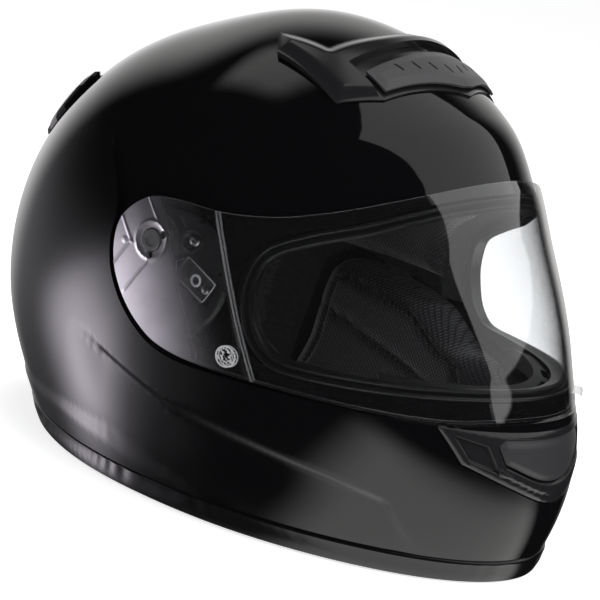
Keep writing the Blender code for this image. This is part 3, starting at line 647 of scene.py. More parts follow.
class Shading(Nodes):
    """A Principled material and short ways to add a pattern to it."""

    def __init__(self, name, colour, roughness, **sockets):
        self.material = bpy.data.materials.new(name)
        self.material.use_nodes = True
        super().__init__(self.material.node_tree)
        self.shader = self.tree.nodes["Principled BSDF"]
        self.shader.inputs["Base Color"].default_value = (*colour, 1.0)
        self.shader.inputs["Roughness"].default_value = roughness
        for socket, value in sockets.items():
            self.shader.inputs[socket.replace("_", " ")].default_value = value
        self.place = self.node("ShaderNodeTexCoord").outputs["Object"]

    def noise(self, scale, detail=2.0, stretch=(1.0, 1.0, 1.0)):
        texture = self.node("ShaderNodeTexNoise")
        texture.inputs["Scale"].default_value = scale
        texture.inputs["Detail"].default_value = detail
        mapping = self.node("ShaderNodeMapping")
        mapping.inputs["Scale"].default_value = stretch
        self.link(self.place, mapping.inputs["Vector"])
        self.link(mapping.outputs["Vector"], texture.inputs["Vector"])
        return texture.outputs["Fac"]

    def cells(self, scale):
        texture = self.node("ShaderNodeTexVoronoi")
        texture.inputs["Scale"].default_value = scale
        self.link(self.place, texture.inputs["Vector"])
        return texture.outputs["Distance"]

    def axis(self, name):
        split = self.node("ShaderNodeSeparateXYZ")
        self.link(self.place, split.inputs[0])
        return split.outputs[name]

    def between(self, fac, low, high):
        """fac from 0 to 1 mapped to low to high."""
        node = self.node("ShaderNodeMapRange")
        self.link(fac, node.inputs["Value"])
        node.inputs["To Min"].default_value = low
        node.inputs["To Max"].default_value = high
        return node.outputs["Result"]

    def colours(self, fac, first, second, start=0.0, end=1.0):
        ramp = self.node("ShaderNodeValToRGB")
        for element, colour, position in zip(ramp.color_ramp.elements, (first, second), (start, end)):
            element.color = (*colour, 1.0)
            element.position = position
        self.link(fac, ramp.inputs["Fac"])
        self.link(ramp.outputs["Color"], self.shader.inputs["Base Color"])

    def roughness(self, fac, low, high):
        self.link(self.between(fac, low, high), self.shader.inputs["Roughness"])

    def bump(self, height, distance, strength=1.0):
        node = self.node("ShaderNodeBump")
        node.inputs["Distance"].default_value = distance
        node.inputs["Strength"].default_value = strength
        self.link(height, node.inputs["Height"])
        self.link(node.outputs["Normal"], self.shader.inputs["Normal"])


def gloss_black():
    m = Shading("gloss_black", (0.0028, 0.0028, 0.0032), 0.03)
    m.roughness(m.noise(9.0, 4.0), 0.02, 0.05)
    m.bump(m.noise(260.0, 1.0), 0.00002, 0.35)
    return m.material


def vent_gloss():
    m = Shading("vent_gloss", (0.012, 0.012, 0.013), 0.16)
    m.roughness(m.noise(60.0, 3.0), 0.12, 0.22)
    m.bump(m.noise(900.0, 2.0), 0.00004, 0.3)
    return m.material


def satin_grey(name="satin_grey", colour=(0.05, 0.05, 0.053), low=0.3, high=0.42):
    m = Shading(name, colour, low)
    m.roughness(m.noise(120.0, 4.0), low, high)
    m.bump(m.noise(2600.0, 2.0), 0.00005, 0.4)
    return m.material


def rubber():
    m = Shading("rubber", (0.006, 0.006, 0.0065), 0.3)
    m.roughness(m.noise(80.0, 4.0), 0.24, 0.36)
    m.bump(m.noise(1800.0, 3.0), 0.00006, 0.4)
    return m.material


def foam():
    m = Shading("bead_foam", (0.02, 0.02, 0.021), 0.85)
    beads = m.cells(300.0)
    m.colours(beads, (0.012, 0.012, 0.013), (0.005, 0.005, 0.0055), 0.1, 0.8)
    m.bump(beads, 0.0006, 0.5)
    return m.material


def mesh_cloth(name="mesh_cloth", first="Y", second="Z", pitch=2.6, light=(0.03, 0.03, 0.033)):
    """Knitted spacer cloth: rows of small round holes, every other row moved by half a step."""
    m = Shading(name, light, 0.9, Sheen_Weight=0.35, Sheen_Roughness=0.4)
    turns = 2.0 * math.pi / (pitch * MM)
    along, across = m.product(m.axis(first), turns), m.product(m.axis(second), turns)
    diagonal = m.math("MULTIPLY", m.math("ADD", along, across), 0.5)
    other = m.math("MULTIPLY", m.math("SUBTRACT", along, across), 0.5)
    wave = m.math("MULTIPLY", m.math("SINE", diagonal), m.math("SINE", other))
    hole = m.math("SMOOTH_MIN", m.math("MULTIPLY", m.math("ABSOLUTE", wave), 2.2), 1.0, 0.2)
    fuzz = m.noise(1500.0, 4.0)
    m.colours(m.product(hole, m.between(fuzz, 0.7, 1.2)), (0.005, 0.005, 0.0055), light, 0.25, 0.9)
    m.bump(m.math("ADD", hole, m.math("MULTIPLY", fuzz, 0.4)), 0.0005, 0.8)
    return m.material


def webbing():
    m = Shading("webbing", (0.012, 0.012, 0.013), 0.8, Sheen_Weight=0.4)
    warp = m.math("SINE", m.math("MULTIPLY", m.axis("Y"), 2 * math.pi / 0.0016))
    weft = m.math("SINE", m.math("MULTIPLY", m.math("ADD", m.axis("X"), m.axis("Z")), 2 * math.pi / 0.0022))
    weave = m.math("MULTIPLY", warp, weft)
    m.colours(m.between(weave, 0.0, 1.0), (0.006, 0.006, 0.0065), (0.03, 0.03, 0.032))
    m.bump(m.math("ADD", weave, m.noise(3000.0, 3.0)), 0.0003, 0.6)
    return m.material


def steel():
    m = Shading("steel", (0.6, 0.6, 0.61), 0.28, Metallic=1.0)
    m.roughness(m.noise(300.0, 4.0, (1.0, 8.0, 1.0)), 0.2, 0.38)
    m.bump(m.noise(1200.0, 2.0, (1.0, 10.0, 1.0)), 0.00004, 0.4)
    return m.material


def red_plastic():
    m = Shading("red_plastic", (0.5, 0.02, 0.015), 0.35)
    m.roughness(m.noise(200.0, 3.0), 0.3, 0.45)
    m.bump(m.noise(1500.0, 2.0), 0.00005, 0.4)
    return m.material


def side_point(m):
    """Design-frame (y, z) in millimetres of a shaded point."""
    y = m.math("SUBTRACT", m.math("DIVIDE", m.axis("Y"), MM), SHIFT_Y)
    return y, m.math("DIVIDE", m.axis("Z"), MM)


def behind_fold(m, y, z):
    """Distance behind the visor's fold line, seen from the side."""
    (y0, z0), (y1, z1) = BEND_LINE[0], BEND_LINE[-1]
    length = math.hypot(y1 - y0, z1 - z0)
    back = m.product(m.math("SUBTRACT", y, y0), (z0 - z1) / length)
    return m.math("ADD", back, m.product(m.math("SUBTRACT", z, z0), (y1 - y0) / length))


def speckled_mark(m, y, z):
    """A small round printed mark: a ring round specks."""
    out = m.math("SQRT", m.math(
        "ADD", m.math("POWER", m.math("SUBTRACT", y, MARK[0]), 2.0),
        m.math("POWER", m.math("SUBTRACT", z, MARK[1]), 2.0),
    ))
    disc = m.outside(out, 5.3, 5.7)
    ring = m.product(m.eased(out, 4.6, 4.9), disc)
    specks = m.product(m.eased(m.noise(900.0, 1.0), 0.5, 0.56), disc, m.eased(out, 1.2, 1.6))
    return m.math("MAXIMUM", ring, specks)


def frost_visor(m, surface):
    """Adds the visor's satin pod, a painted highlight along its fold line and its round mark."""
    y, z = side_point(m)
    behind = behind_fold(m, y, z)
    satin = m.node("ShaderNodeBsdfGlossy")
    satin.inputs["Roughness"].default_value = 0.42
    satin.inputs["Color"].default_value = (0.93, 0.91, 0.95, 1.0)
    cloud = m.between(m.noise(55.0, 3.0), 0.75, 1.2)
    pod = m.product(m.eased(behind, 8.0, 64.0), cloud, POD_FROST)
    # painted highlight: a thin light grey stripe along the fold line stands in for the light the fold
    # catches; the fold itself is a real ridge in visor_face
    line = m.product(m.outside(m.math("ABSOLUTE", behind), 0.2, 0.8), FOLD_HIGHLIGHT_SHARE)
    mark = m.product(speckled_mark(m, y, z), MARK_SHARE)
    return m.mixed(m.math("MAXIMUM", line, mark), m.mixed(pod, surface, satin), m.shader)


def clear_sheet(name, tint, strength, haze, frosted=False):
    """A thin clear wall: light goes straight through, and only outer faces mirror."""
    m = Shading(name, (0.8, 0.8, 0.82), 0.3)
    clear = m.node("ShaderNodeBsdfTransparent")
    clear.inputs["Color"].default_value = (*tint, 1.0)
    mirror = m.node("ShaderNodeBsdfGlossy")
    mirror.inputs["Roughness"].default_value = 0.015
    fresnel = m.node("ShaderNodeFresnel")
    fresnel.inputs["IOR"].default_value = 1.5
    outer = m.math("SUBTRACT", 1.0, m.node("ShaderNodeNewGeometry").outputs["Backfacing"])
    speck = m.between(m.noise(500.0, 4.0), 0.9, 1.1)
    share = m.product(m.product(fresnel.outputs[0], outer), m.product(speck, strength))
    surface = m.mixed(share, m.mixed(haze, clear, m.shader), mirror)
    if frosted:
        surface = frost_visor(m, surface)
    m.link(surface.outputs[0], m.tree.nodes["Material Output"].inputs["Surface"])
    return m.material


# How much the visor's satin pod, the painted highlight on its fold line and its mark cover what is under
# them.
POD_FROST, FOLD_HIGHLIGHT_SHARE, MARK_SHARE = 0.85, 0.13, 0.4
BEND_LINE = ((-43.0, 157.0), (-52.0, 137.0), (-66.0, 110.0), (-81.0, 80.0))
MATERIALS = {
    "gloss": gloss_black(),
    "vent_gloss": vent_gloss(),
    "slider": satin_grey("matt_grey", (0.045, 0.045, 0.047), 0.38, 0.5),
    "shield": satin_grey("shield_grey", (0.03, 0.03, 0.032), 0.3, 0.42),
    "black": satin_grey("matt_black", (0.006, 0.006, 0.0065), 0.5, 0.65),
    "dark": satin_grey("dark_plastic", (0.012, 0.012, 0.013), 0.22, 0.36),
    "rubber": rubber(),
    "trim": satin_grey("trim_black", (0.004, 0.004, 0.0045), 0.1, 0.18),
    # painted highlight: an opaque light grey on the clear visor's and lock's bevelled edges and on the
    # lock's ring, standing in for the light these clear edges catch
    "clear_edge_painted_highlight": satin_grey("clear_edge_painted_highlight", (0.42, 0.42, 0.44), 0.2, 0.3),
    "foam": foam(),
    "side_cloth": mesh_cloth(),
    "brushed": mesh_cloth("brushed_cloth", "X", "Z", 1.1, (0.02, 0.02, 0.022)),
    "webbing": webbing(),
    "steel": steel(),
    "red": red_plastic(),
    "visor": clear_sheet("clear_visor", (0.97, 0.975, 0.98), 2.8, 0.002, frosted=True),
    "lock": clear_sheet("clear_lock", (0.9, 0.9, 0.92), 2.5, 0.015),
}


def piece(obj, body, slot_name, *nodes):
    """Declares what body a piece rides on and hides the CAD nodes it stands for. slot_name is not used."""
    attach(obj, body)
    if nodes:
        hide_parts(*nodes)
    return obj


# ---------------------------------------------------------------- shell, trim and lining

# Heights of the crease and the flare along y, and the crown groove's y along x.
CREASE = (
    (-167, 10.5), (-156, 25.5), (-149, 39.5), (-123, 45.5), (-84, 51), (-35.5, 57), (11, 71), (34, 77.5),
)
FLARE = ((-65, 14.5), (-35, 20), (3, 27.5), (44, 29.5), (87, 27))
PANEL_LINE = ((-90, 34), (-71, 23), (-60, 15), (-40, 10), (0, 5), (40, 10), (60, 15), (71, 23), (90, 34))


def height_of(line, y):
    knots = np.array(line, float)
    return np.interp(y, knots[:, 0], knots[:, 1])


def lip_offset(p):
    """The shell's painted face: a crease low on the side, a flared bottom and a groove on the crown."""
    x, y, z = p[..., 0], p[..., 1], p[..., 2]
    below = height_of(CREASE, y) - z
    share = smooth((y + 165.0) / 25.0) * (1.0 - smooth((y - 8.0) / 34.0))
    crease = -1.3 * smooth(below / 3.4) * (1.0 - smooth((below - 3.4) / 36.0)) * share
    flare = 1.0 * smooth((height_of(FLARE, y) - z) / 4.5) * (1.0 - smooth((-65.0 - y) / 20.0))
    groove = -0.8 * ridge(y - height_of(PANEL_LINE, x), 1.6) * smooth((z - 200.0) / 12.0)
    return crease + flare + groove


def level_field(height, side=1.0):
    return lambda p: side * (p[..., 2] - height)


def make_shell():
    grid = whole_grid(720)
    faces = grid.keep(grid.faces, level_field(SHELL_BOTTOM))
    seat, lip = grid.split(faces, side_field(SEAT_OUTLINE))
    seat = grid.drop(seat, side_field(OPENING))
    recess, lip = grid.split(lip, at_front(front_field(CHIN_FRAME, 0.5)))
    recess = grid.drop(recess, at_front(front_field(CHIN_WINDOW, 1.5)))
    well, seat = grid.split(seat, at_sides(side_field(BASE_OUTLINE, 0.5)))
    levels = [(lip, lip_offset), (seat, turning_seat), (recess, CHIN_RECESS), (well, WELL_FLOOR)]
    shell = stepped_skin(
        "outer_shell_skin", grid, levels, lambda p: wall_inside(p) - 3.0 * wells_deep(p),
        MATERIALS["gloss"], 30.0,
    )
    soften(shell, 0.7, 3, 35.0)
    piece(shell, "helmet", "gloss_shell", "outer_shell")


def turning_seat(p):
    """The visor's seat, sunk a little round the pivots so that the visor's back edge turns past it."""
    out = np.hypot(p[..., 1] - PIVOT_Y, p[..., 2] - PIVOT_Z)
    return seat_floor(p) - 0.8 * (1.0 - smooth((out - 30.0) / 10.0))


def wells_deep(p):
    return np.where(np.abs(p[..., 0]) > 60.0, smooth((side_field(BASE_OUTLINE, 3.0)(p) + 2.0) / 4.0), 0.0)


def make_trim():
    grid = whole_grid()
    faces = grid.keep(grid.faces, level_field(1.4), level_field(TRIM_HEIGHT, -1.0))

    def outside(p):
        return 1.6 + 0.9 * smooth((TRIM_HEIGHT - p[..., 2]) / 6.0) - 0.7 * ridge(p[..., 2] - 8.5, 0.9)

    inside = lambda p: wall_inside(p) - 2.0
    trim = closed_skin("rim_trim_skin", grid, faces, outside, inside, MATERIALS["trim"])
    soften(trim, 1.1, 3)
    piece(trim, "helmet", "rubber_trim", "rim_trim")


LINER_GAP = (
    (-300, -60), (22, -60), (22, 98, 1), (10, 114, 1), (-30, 111.5, 1), (-60, 106.5, 1), (-84, 98),
    (-300, 98),
)


def liner_outside(p):
    return wall_inside(p) - LINER_OUTSIDE


def make_foam():
    grid = whole_grid(240, 2.0, 1.5, base=-20.0)
    faces = grid.keep(grid.faces, level_field(34.5))
    faces = grid.drop(faces, side_field(OPENING, 0.5), side_field(LINER_GAP))
    liner = closed_skin("eps_liner_skin", grid, faces, liner_outside, LINER_INSIDE, MATERIALS["foam"])
    soften(liner, 1.5, 2)
    piece(liner, "helmet", "foam_core", "eps_liner")


def crowned(field, outer, inner, rounding, channels=None):
    """Inner face of a cushion: full in the middle, rounded down to its edge, with sewn channels."""
    def offset(p):
        rise = np.clip(field(p) / rounding, 0.0, 1.0)
        full = np.sqrt(np.maximum(0.0, 1.0 - (1.0 - rise) ** 2))
        depth = (outer - inner) * full
        if channels is not None:
            depth = depth * (1.0 - channels(p))
        return outer - depth

    return offset


def make_cheek_pad(side, word):
    grid = whole_grid(480, 1.0, 1.0, base=-30.0)
    outline = side_field(CHEEK_OUTLINE, -0.5)
    field = lambda p: np.where(side * p[..., 0] > 40.0, outline(p), -50.0)
    faces = grid.keep(grid.faces, field)

    def seam(p):
        """A sewn line that follows the pad's edge, and one across it."""
        across = p[..., 2] - 62.0 - 0.25 * (p[..., 1] + 50.0)
        return 0.12 * np.maximum(ridge(outline(p) - 13.0, 1.3), ridge(across, 1.6))

    pad = closed_skin(
        "cheek_pad_skin_" + word, grid, faces, CHEEK_OUTSIDE,
        crowned(outline, CHEEK_OUTSIDE, CHEEK_INSIDE, 18.0, seam), MATERIALS["side_cloth"], 60.0,
    )
    piece(pad, "helmet", "lining_cloth", "cheek_pad_" + word)


def make_crown_pad():
    grid = whole_grid(240, 1.5, 1.5, base=-38.0)
    opening = side_field(OPENING, 2.5)
    field = lambda p: np.minimum(p[..., 2] - CROWN_BOTTOM, -opening(p))
    faces = grid.keep(grid.faces, level_field(CROWN_BOTTOM))
    faces = grid.drop(faces, opening)

    def channels(p):
        lines = np.minimum(np.abs(np.abs(p[..., 0]) - 34.0), np.abs(p[..., 1] - 30.0))
        return 0.55 * ridge(lines, 2.4)

    pad = closed_skin(
        "crown_pad_skin", grid, faces, CROWN_OUTSIDE,
        crowned(field, CROWN_OUTSIDE, CROWN_INSIDE, 8.0, channels), MATERIALS["side_cloth"], 60.0,
    )
    piece(pad, "helmet", "lining_cloth", "crown_pad")


def make_neck_roll():
    grid = whole_grid(480, 1.0, 1.0, base=-10.0)
    behind = lambda p: p[..., 1] - NECK_FRONT
    bounds = (level_field(NECK_BOTTOM), level_field(NECK_TOP, -1.0), behind)
    field = lambda p: np.minimum.reduce([bound(p) for bound in bounds])
    faces = grid.keep(grid.faces, *bounds)
    roll = closed_skin(
        "neck_roll_skin", grid, faces, lambda p: wall_inside(p) - 0.8, crowned(field, -6.0, -26.5, 9.5),
        MATERIALS["brushed"], 60.0,
    )
    piece(roll, "helmet", "lining_cloth", "neck_roll")


def make_chin_liner():
    grid = whole_grid(480, 1.0, 1.0, base=-14.0)
    ahead = lambda p: CHIN_LINER_BACK - p[..., 1]
    bounds = (level_field(CHIN_LINER_BOTTOM), level_field(CHIN_LINER_TOP, -1.0), ahead)
    field = lambda p: np.minimum.reduce([bound(p) for bound in bounds])
    faces = grid.keep(grid.faces, *bounds)
    liner = closed_skin(
        "chin_liner_skin", grid, faces, liner_outside, crowned(field, -9.0, -26.5, 10.0),
        MATERIALS["foam"], 60.0,
    )
    piece(liner, "helmet", "foam_core", "chin_bar_liner")


def make_seal():
    path = side_loop(OPENING, -8.4, 420)
    section = (
        (0.4, -4.8), (0.4, 4.0), (1.1, 5.0), (2.1, 5.1), (2.8, 4.2), (3.0, 2.4), (3.8, 2.0), (4.4, 3.2),
        (5.3, 3.9), (6.2, 3.6), (6.8, 2.4), (6.9, 0.5), (6.2, -1.5), (6.4, -4.8),
    )
    seal = swept(
        "eyeport_seal_lips", path, section, MATERIALS["rubber"], towards=(0.0, -110.0, 125.0),
        smooth_angle=60.0,
    )
    piece(seal, "helmet", "rubber_trim", "eyeport_seal")


def make_deflector():
    grid = patch_grid((-40, 0), (-45, 45), 0.4, base=-19.4)
    wall = lambda p: 88.0 - np.abs(p[..., 0])
    faces = grid.keep(grid.faces, level_field(84.5), level_field(94.5, -1.0), wall)
    body = closed_skin("chin_deflector_skin", grid, faces, -13.8, -25.0, MATERIALS["black"])
    for number, x in enumerate((-46.0, -23.0, 0.0, 23.0, 46.0), 1):
        middle = (x, front_y(x, 90.0, -19.4), 90.0)
        turn = math.atan(front_y(x + 1.0, 90.0, -19.4) - middle[1])
        cut(body, slot_cutter(f"deflector_cutter_{number}", middle, 8.0, 2.2, 20.0, turn))
    soften(body, 0.6, 2)
    piece(body, "helmet", "dark_plastic", "chin_deflector")


def slot_cutter(name, middle, half_length, half_width, half_depth, turn):
    """A long round-ended cutter standing on a point."""
    straight = half_length - half_width
    ends = []
    for centre, start in ((straight, -90.0), (-straight, 90.0)):
        for step in range(9):
            angle = math.radians(start + step * 22.5)
            ends.append((centre + half_width * math.cos(angle), half_width * math.sin(angle)))
    cosine, sine = math.cos(turn), math.sin(turn)

    def place(u, v, w):
        x, y = u * cosine - v * sine, u * sine + v * cosine
        return middle[0] + x, middle[1] + y, middle[2] - half_depth + w

    cutter = slab(name, ends, place, 2 * half_depth, MATERIALS["black"])
    cutter.modifiers.clear()
    return cutter


def cut(obj, cutter):
    """Cuts with another object at once and removes it."""
    modifier = obj.modifiers.new("Cut", "BOOLEAN")
    modifier.operation = "DIFFERENCE"
    modifier.solver = "EXACT"
    modifier.object = cutter
    graph = bpy.context.evaluated_depsgraph_get()
    mesh = bpy.data.meshes.new_from_object(obj.evaluated_get(graph))
    obj.modifiers.clear()
    obj.data = mesh
    bpy.data.objects.remove(cutter, do_unlink=True)
    return obj


# ---------------------------------------------------------------- visor and its mechanism

HUB_LINES = (
    ((-4.0, 154.0), (-14.0, 144.0)), ((10.0, 141.0), (-0.5, 129.5)), ((9.4, 116.0), (0.8, 130.0)),
    ((-0.4, 104.5), (-12.0, 123.0)),
)


def distance_to(line, y, z):
    best = np.full(y.shape, np.inf)
    for (y0, z0), (y1, z1) in zip(line[:-1], line[1:]):
        dy, dz = y1 - y0, z1 - z0
        along = np.clip(((y - y0) * dy + (z - z0) * dz) / (dy * dy + dz * dz), 0.0, 1.0)
        best = np.minimum(best, np.hypot(y - y0 - along * dy, z - z0 - along * dz))
    return best


def visor_face(p):
    """The visor's outer face: a fold, a raised ring round the pivot and fine ribs inside the pod."""
    y, z = p[..., 1], p[..., 2]
    side = smooth((np.abs(p[..., 0]) - 60.0) / 20.0)
    fold = 0.45 * ridge(distance_to(BEND_LINE, y, z), 1.3)
    out = np.hypot(y - PIVOT_Y, z - PIVOT_Z)
    ring = 0.5 * ridge(out - 9.4, 0.8)
    ribs = sum(0.3 * ridge(distance_to(line, y, z), 0.7) for line in HUB_LINES)
    button = 0.25 * np.exp(-((np.hypot(y - 4.6, z - 129.5) / 1.6) ** 4))
    dish = -0.35 * smooth((9.0 - out) / 3.0)
    return VISOR_OUTSIDE + side * (fold + ring + ribs + button + dish)


def hub_hole(p):
    """The round hole at the pivot with its two key notches."""
    y, z = p[..., 1] - PIVOT_Y, p[..., 2] - PIVOT_Z
    notches = [2.0 - np.hypot(y - dy, z - dz) for dy, dz in ((-6.4, 4.2), (-0.5, -7.6))]
    return np.maximum(6.1 - np.hypot(y, z), np.maximum(*notches))


def make_visor():
    grid = whole_grid(720, 1.0, 0.25)
    faces = grid.keep(grid.faces, side_field(VISOR_OUTLINE))
    faces = grid.drop(faces, at_sides(hub_hole))
    visor = closed_skin("visor_shield", grid, faces, visor_face, VISOR_INSIDE, MATERIALS["visor"], 30.0)
    # the visor's bevels take the light grey painted-highlight material
    soften(visor, 0.4, 2, 50.0, MATERIALS["clear_edge_painted_highlight"])
    piece(visor, "visor", "clear_visor", "visor")
    make_tab()


def make_tab():
    """The lift tab: a shallow shelf standing off the visor's lower edge."""
    middle_x, middle_z = 40.0, 92.0
    path = []
    for x in np.linspace(middle_x - 9.0, middle_x + 9.0, 13):
        path.append((x, front_y(x, middle_z, 0.0), middle_z))
    section = (
        (-1.6, -1.2), (-1.8, 1.2), (-1.4, 3.4), (-0.6, 4.2), (0.4, 3.9), (1.0, 2.2), (1.6, 0.6), (2.0, -1.2),
    )
    tab = swept("visor_lift_tab", path, section, MATERIALS["visor"], closed=False, smooth_angle=60.0)
    piece(tab, "visor", "clear_visor")


def along_lock(along, across):
    start = (Vector(LOCK_OUTLINE[0]) + Vector(LOCK_OUTLINE[1])) / 2.0
    line = (Vector(LOCK_OUTLINE[2]) - Vector(LOCK_OUTLINE[1])).normalized()
    point = start + line * along + Vector((-line.y, line.x)) * across
    return point.x, point.y


# Half sections of the small turned pieces, as (radius, height).
BOSS_PROFILE = (
    (0.0, 0.0), (8.0, 0.0), (7.6, 6.0), (5.5, 6.6), (5.5, 10.4), (5.0, 10.9), (3.4, 10.9), (3.0, 10.3),
    (0.0, 10.2),
)
SCREW_PROFILE = (
    (0.0, 0.0), (1.5, 0.0), (1.5, 3.3), (3.2, 3.4), (3.2, 4.3), (2.4, 5.0), (1.2, 5.1), (1.1, 4.1),
    (0.0, 4.1),
)
RING_PROFILE = ((2.0, 0.0), (3.2, 0.0), (3.2, 0.5), (2.8, 0.8), (2.3, 0.8), (2.0, 0.5), (2.0, 0.0))
PIN_PROFILE = ((0.0, 0.0), (2.2, 0.0), (2.2, 1.4), (1.7, 1.8), (0.8, 1.9), (0.6, 1.5), (0.0, 1.5))


def clipped_corners(outline, size):
    """An outline with its corners taken off, a point close to each corner kept."""
    clipped = []
    count = len(outline)
    for i, corner in enumerate(outline):
        here, back, ahead = (Vector(point) for point in (corner, outline[i - 1], outline[(i + 1) % count]))
        clipped.append(tuple(here + (back - here).normalized() * size))
        clipped.append(tuple(here + (back + ahead - 2 * here) * 0.02))
        clipped.append(tuple(here + (ahead - here).normalized() * size))
    return clipped


def make_base(side, word):
    grid = whole_grid(360, 4.0, 0.35)
    outline = side_field(BASE_OUTLINE)
    faces = grid.keep(grid.faces, at_sides(outline, side))
    room = tuple(along_lock(*corner) for corner in ((-5.0, 7.3), (-5.0, -7.3), (25.2, -7.3), (25.2, 7.3)))
    sunk, faces = grid.split(faces, side_field(room))

    def face(p):
        y, z = p[..., 1], p[..., 2]
        out = np.hypot(y - PIVOT_Y, z - PIVOT_Z)
        rings = sum(0.7 * ridge(out - radius, 0.8) for radius in (14.5, 20.0))
        from_screws = [np.hypot(y - screw_y, z - screw_z) for screw_y, screw_z in SCREWS]
        sinks = sum(-1.6 * smooth((4.4 - away) / 1.2) for away in from_screws)
        rims = sum(0.6 * ridge(away - 5.4, 0.7) for away in from_screws)
        edge = -1.2 * smooth((3.0 - outline(p)) / 3.0)
        return -4.4 + rings + sinks + rims + edge

    levels = [(faces, face), (sunk, LOCK_ROOM_FLOOR)]
    base = stepped_skin("visor_base_plate_" + word, grid, levels, BASE_BACK, MATERIALS["dark"], 30.0)
    soften(base, 0.3, 2)
    piece(base, "helmet", "dark_plastic", "visor_base_" + word)
    pin = turned(
        "pivot_boss_" + word, (side * BOSS_FOOT, PIVOT_Y, PIVOT_Z), (side, 0, 0), BOSS_PROFILE,
        MATERIALS["slider"],
    )
    piece(pin, "helmet", "dark_plastic")
    for number, (y, z) in enumerate(SCREWS, 1):
        head = turned(
            f"visor_screw_head_{word}_{number}", (side * (BOSS_FOOT - 0.5), y, z), (side, 0, 0),
            SCREW_PROFILE, MATERIALS["steel"], 32,
        )
        piece(head, "helmet", "steel_parts", f"visor_screw_{word}_{number}")


def make_lock(side, word):
    def place(u, v, w):
        return side * (LOCK_FLOOR + w), u, v

    outline = clipped_corners(LOCK_OUTLINE, 1.6)
    # the lock plate's bevelled edges take the light grey painted-highlight material
    lock = slab(
        "visor_lock_plate_" + word, outline, place, 1.4, MATERIALS["lock"], 0.3, MATERIALS["clear_edge_painted_highlight"]
    )
    piece(lock, "lock_" + word, "clear_visor", "visor_lock_" + word)
    # the clear lock ring is drawn in the light grey painted-highlight material
    ring = turned(
        "visor_lock_ring_" + word, (side * (LOCK_FLOOR + 1.2), *along_lock(11.5, 0.0)), (side, 0, 0),
        RING_PROFILE, MATERIALS["clear_edge_painted_highlight"], 32,
    )
    piece(ring, "lock_" + word, "clear_visor")
    pin = turned(
        "lock_pin_head_" + word, (side * LOCK_FLOOR, *LOCK_PIN), (side, 0, 0), PIN_PROFILE,
        MATERIALS["steel"], 32,
    )
    piece(pin, "lock_" + word, "steel_parts", "lock_pin_" + word)


# ---------------------------------------------------------------- vents

def vent_height(p):
    angle = np.degrees(np.arctan2(p[..., 2] - PIVOT_Z, PIVOT_Y - p[..., 1]))
    return 4.0 + 2.5 * smooth((angle - 52.0) / 28.0)


def make_top_vent():
    grid = patch_grid((45, 115), (-52, 52), 0.35)
    faces = grid.keep(grid.faces, top_field(VENT_OUTLINE))
    sunk, faces = grid.split(faces, top_field(VENT_SLOT))

    def wing(p):
        """Full in the middle of each wing, drawn down to a thin edge."""
        edge = top_field(VENT_OUTLINE)(p)
        return vent_height(p) - 3.0 * (1.0 - smooth(edge / 7.0))

    def slot_floor(p):
        rib = 0.5 * np.exp(-((p[..., 0] / 2.0) ** 4))
        return 1.1 + rib * smooth((p[..., 1] + 70.0) / 4.0)

    levels = [(faces, wing), (sunk, slot_floor)]
    base = stepped_skin("top_vent_cowl", grid, levels, -0.6, MATERIALS["vent_gloss"], 30.0)
    soften(base, 0.6, 3)
    piece(base, "helmet", "gloss_shell", "top_vent_base")

    grid = patch_grid((50, 90), (-36, 36), 0.25)
    faces = grid.keep(grid.faces, top_field(SLIDER_OUTLINE))
    crown = lambda p: 4.6 - 0.9 * (1.0 - smooth(top_field(SLIDER_OUTLINE)(p) / 5.0))
    slider = closed_skin("top_vent_slide", grid, faces, crown, 2.3, MATERIALS["slider"], 30.0)
    for side in (-1, 1):
        for number in range(4):
            x = side * (5.5 + number * 11.0)
            y = -88.0 + 0.29 * abs(x)
            turn = math.radians(90.0 - 14.0 * side)
            cut(slider, slot_cutter(f"slit_cutter_{side}_{number}", (x, y, 226.0), 3.0, 0.8, 40.0, turn))
    soften(slider, 0.35, 2)
    piece(slider, "top_vent", "matt_grey", "top_vent_slider")


def make_chin_vent():
    grid = patch_grid((-42, -6), (-42, 42), 0.3)
    frame_field, window = front_field(CHIN_FRAME), front_field(CHIN_WINDOW)
    faces = grid.drop(grid.keep(grid.faces, frame_field), window)
    pockets = np.zeros((0, 4), int)
    for side in (-1, 1):
        outline = [(side * x, z) for x, z in CHIN_SIDE]
        pocket, faces = grid.split(faces, front_field(outline))
        pockets = np.concatenate([pockets, pocket])

    def face(p):
        edge, inner = frame_field(p), -window(p)
        groove = -0.9 * ridge(edge - 4.2, 0.8) * smooth((62.0 - p[..., 2]) / 4.0)
        rim = 0.8 * ridge(inner - 3.4, 1.8) * smooth((64.0 - p[..., 2]) / 3.0)
        return 0.6 + groove + rim - 0.8 * (1.0 - smooth(edge / 1.6))

    frame_skin = stepped_skin(
        "chin_vent_surround", grid, [(faces, face), (pockets, -1.2)], -2.6, MATERIALS["vent_gloss"], 30.0
    )
    soften(frame_skin, 0.45, 3)
    piece(frame_skin, "helmet", "gloss_shell", "chin_vent_frame")

    grid = patch_grid((-42, -6), (-28, 28), 0.25)
    inset = front_field(CHIN_WINDOW, -0.9)
    faces = grid.keep(grid.faces, inset)
    dome = lambda p: -0.9 + 0.9 * smooth(inset(p) / 4.0)
    flap = closed_skin("chin_vent_shield", grid, faces, dome, -2.2, MATERIALS["shield"], 30.0)
    soften(flap, 0.4, 2)
    piece(flap, "chin_flap", "matt_grey", "chin_vent_flap")


# ---------------------------------------------------------------- strap

STRAP_MIDDLE, STRAP_WIDTH, STRAP_THICK, STRAP_LOW, STRAP_TOP = -19.0, 20.0, 2.0, 4.6, 105.0


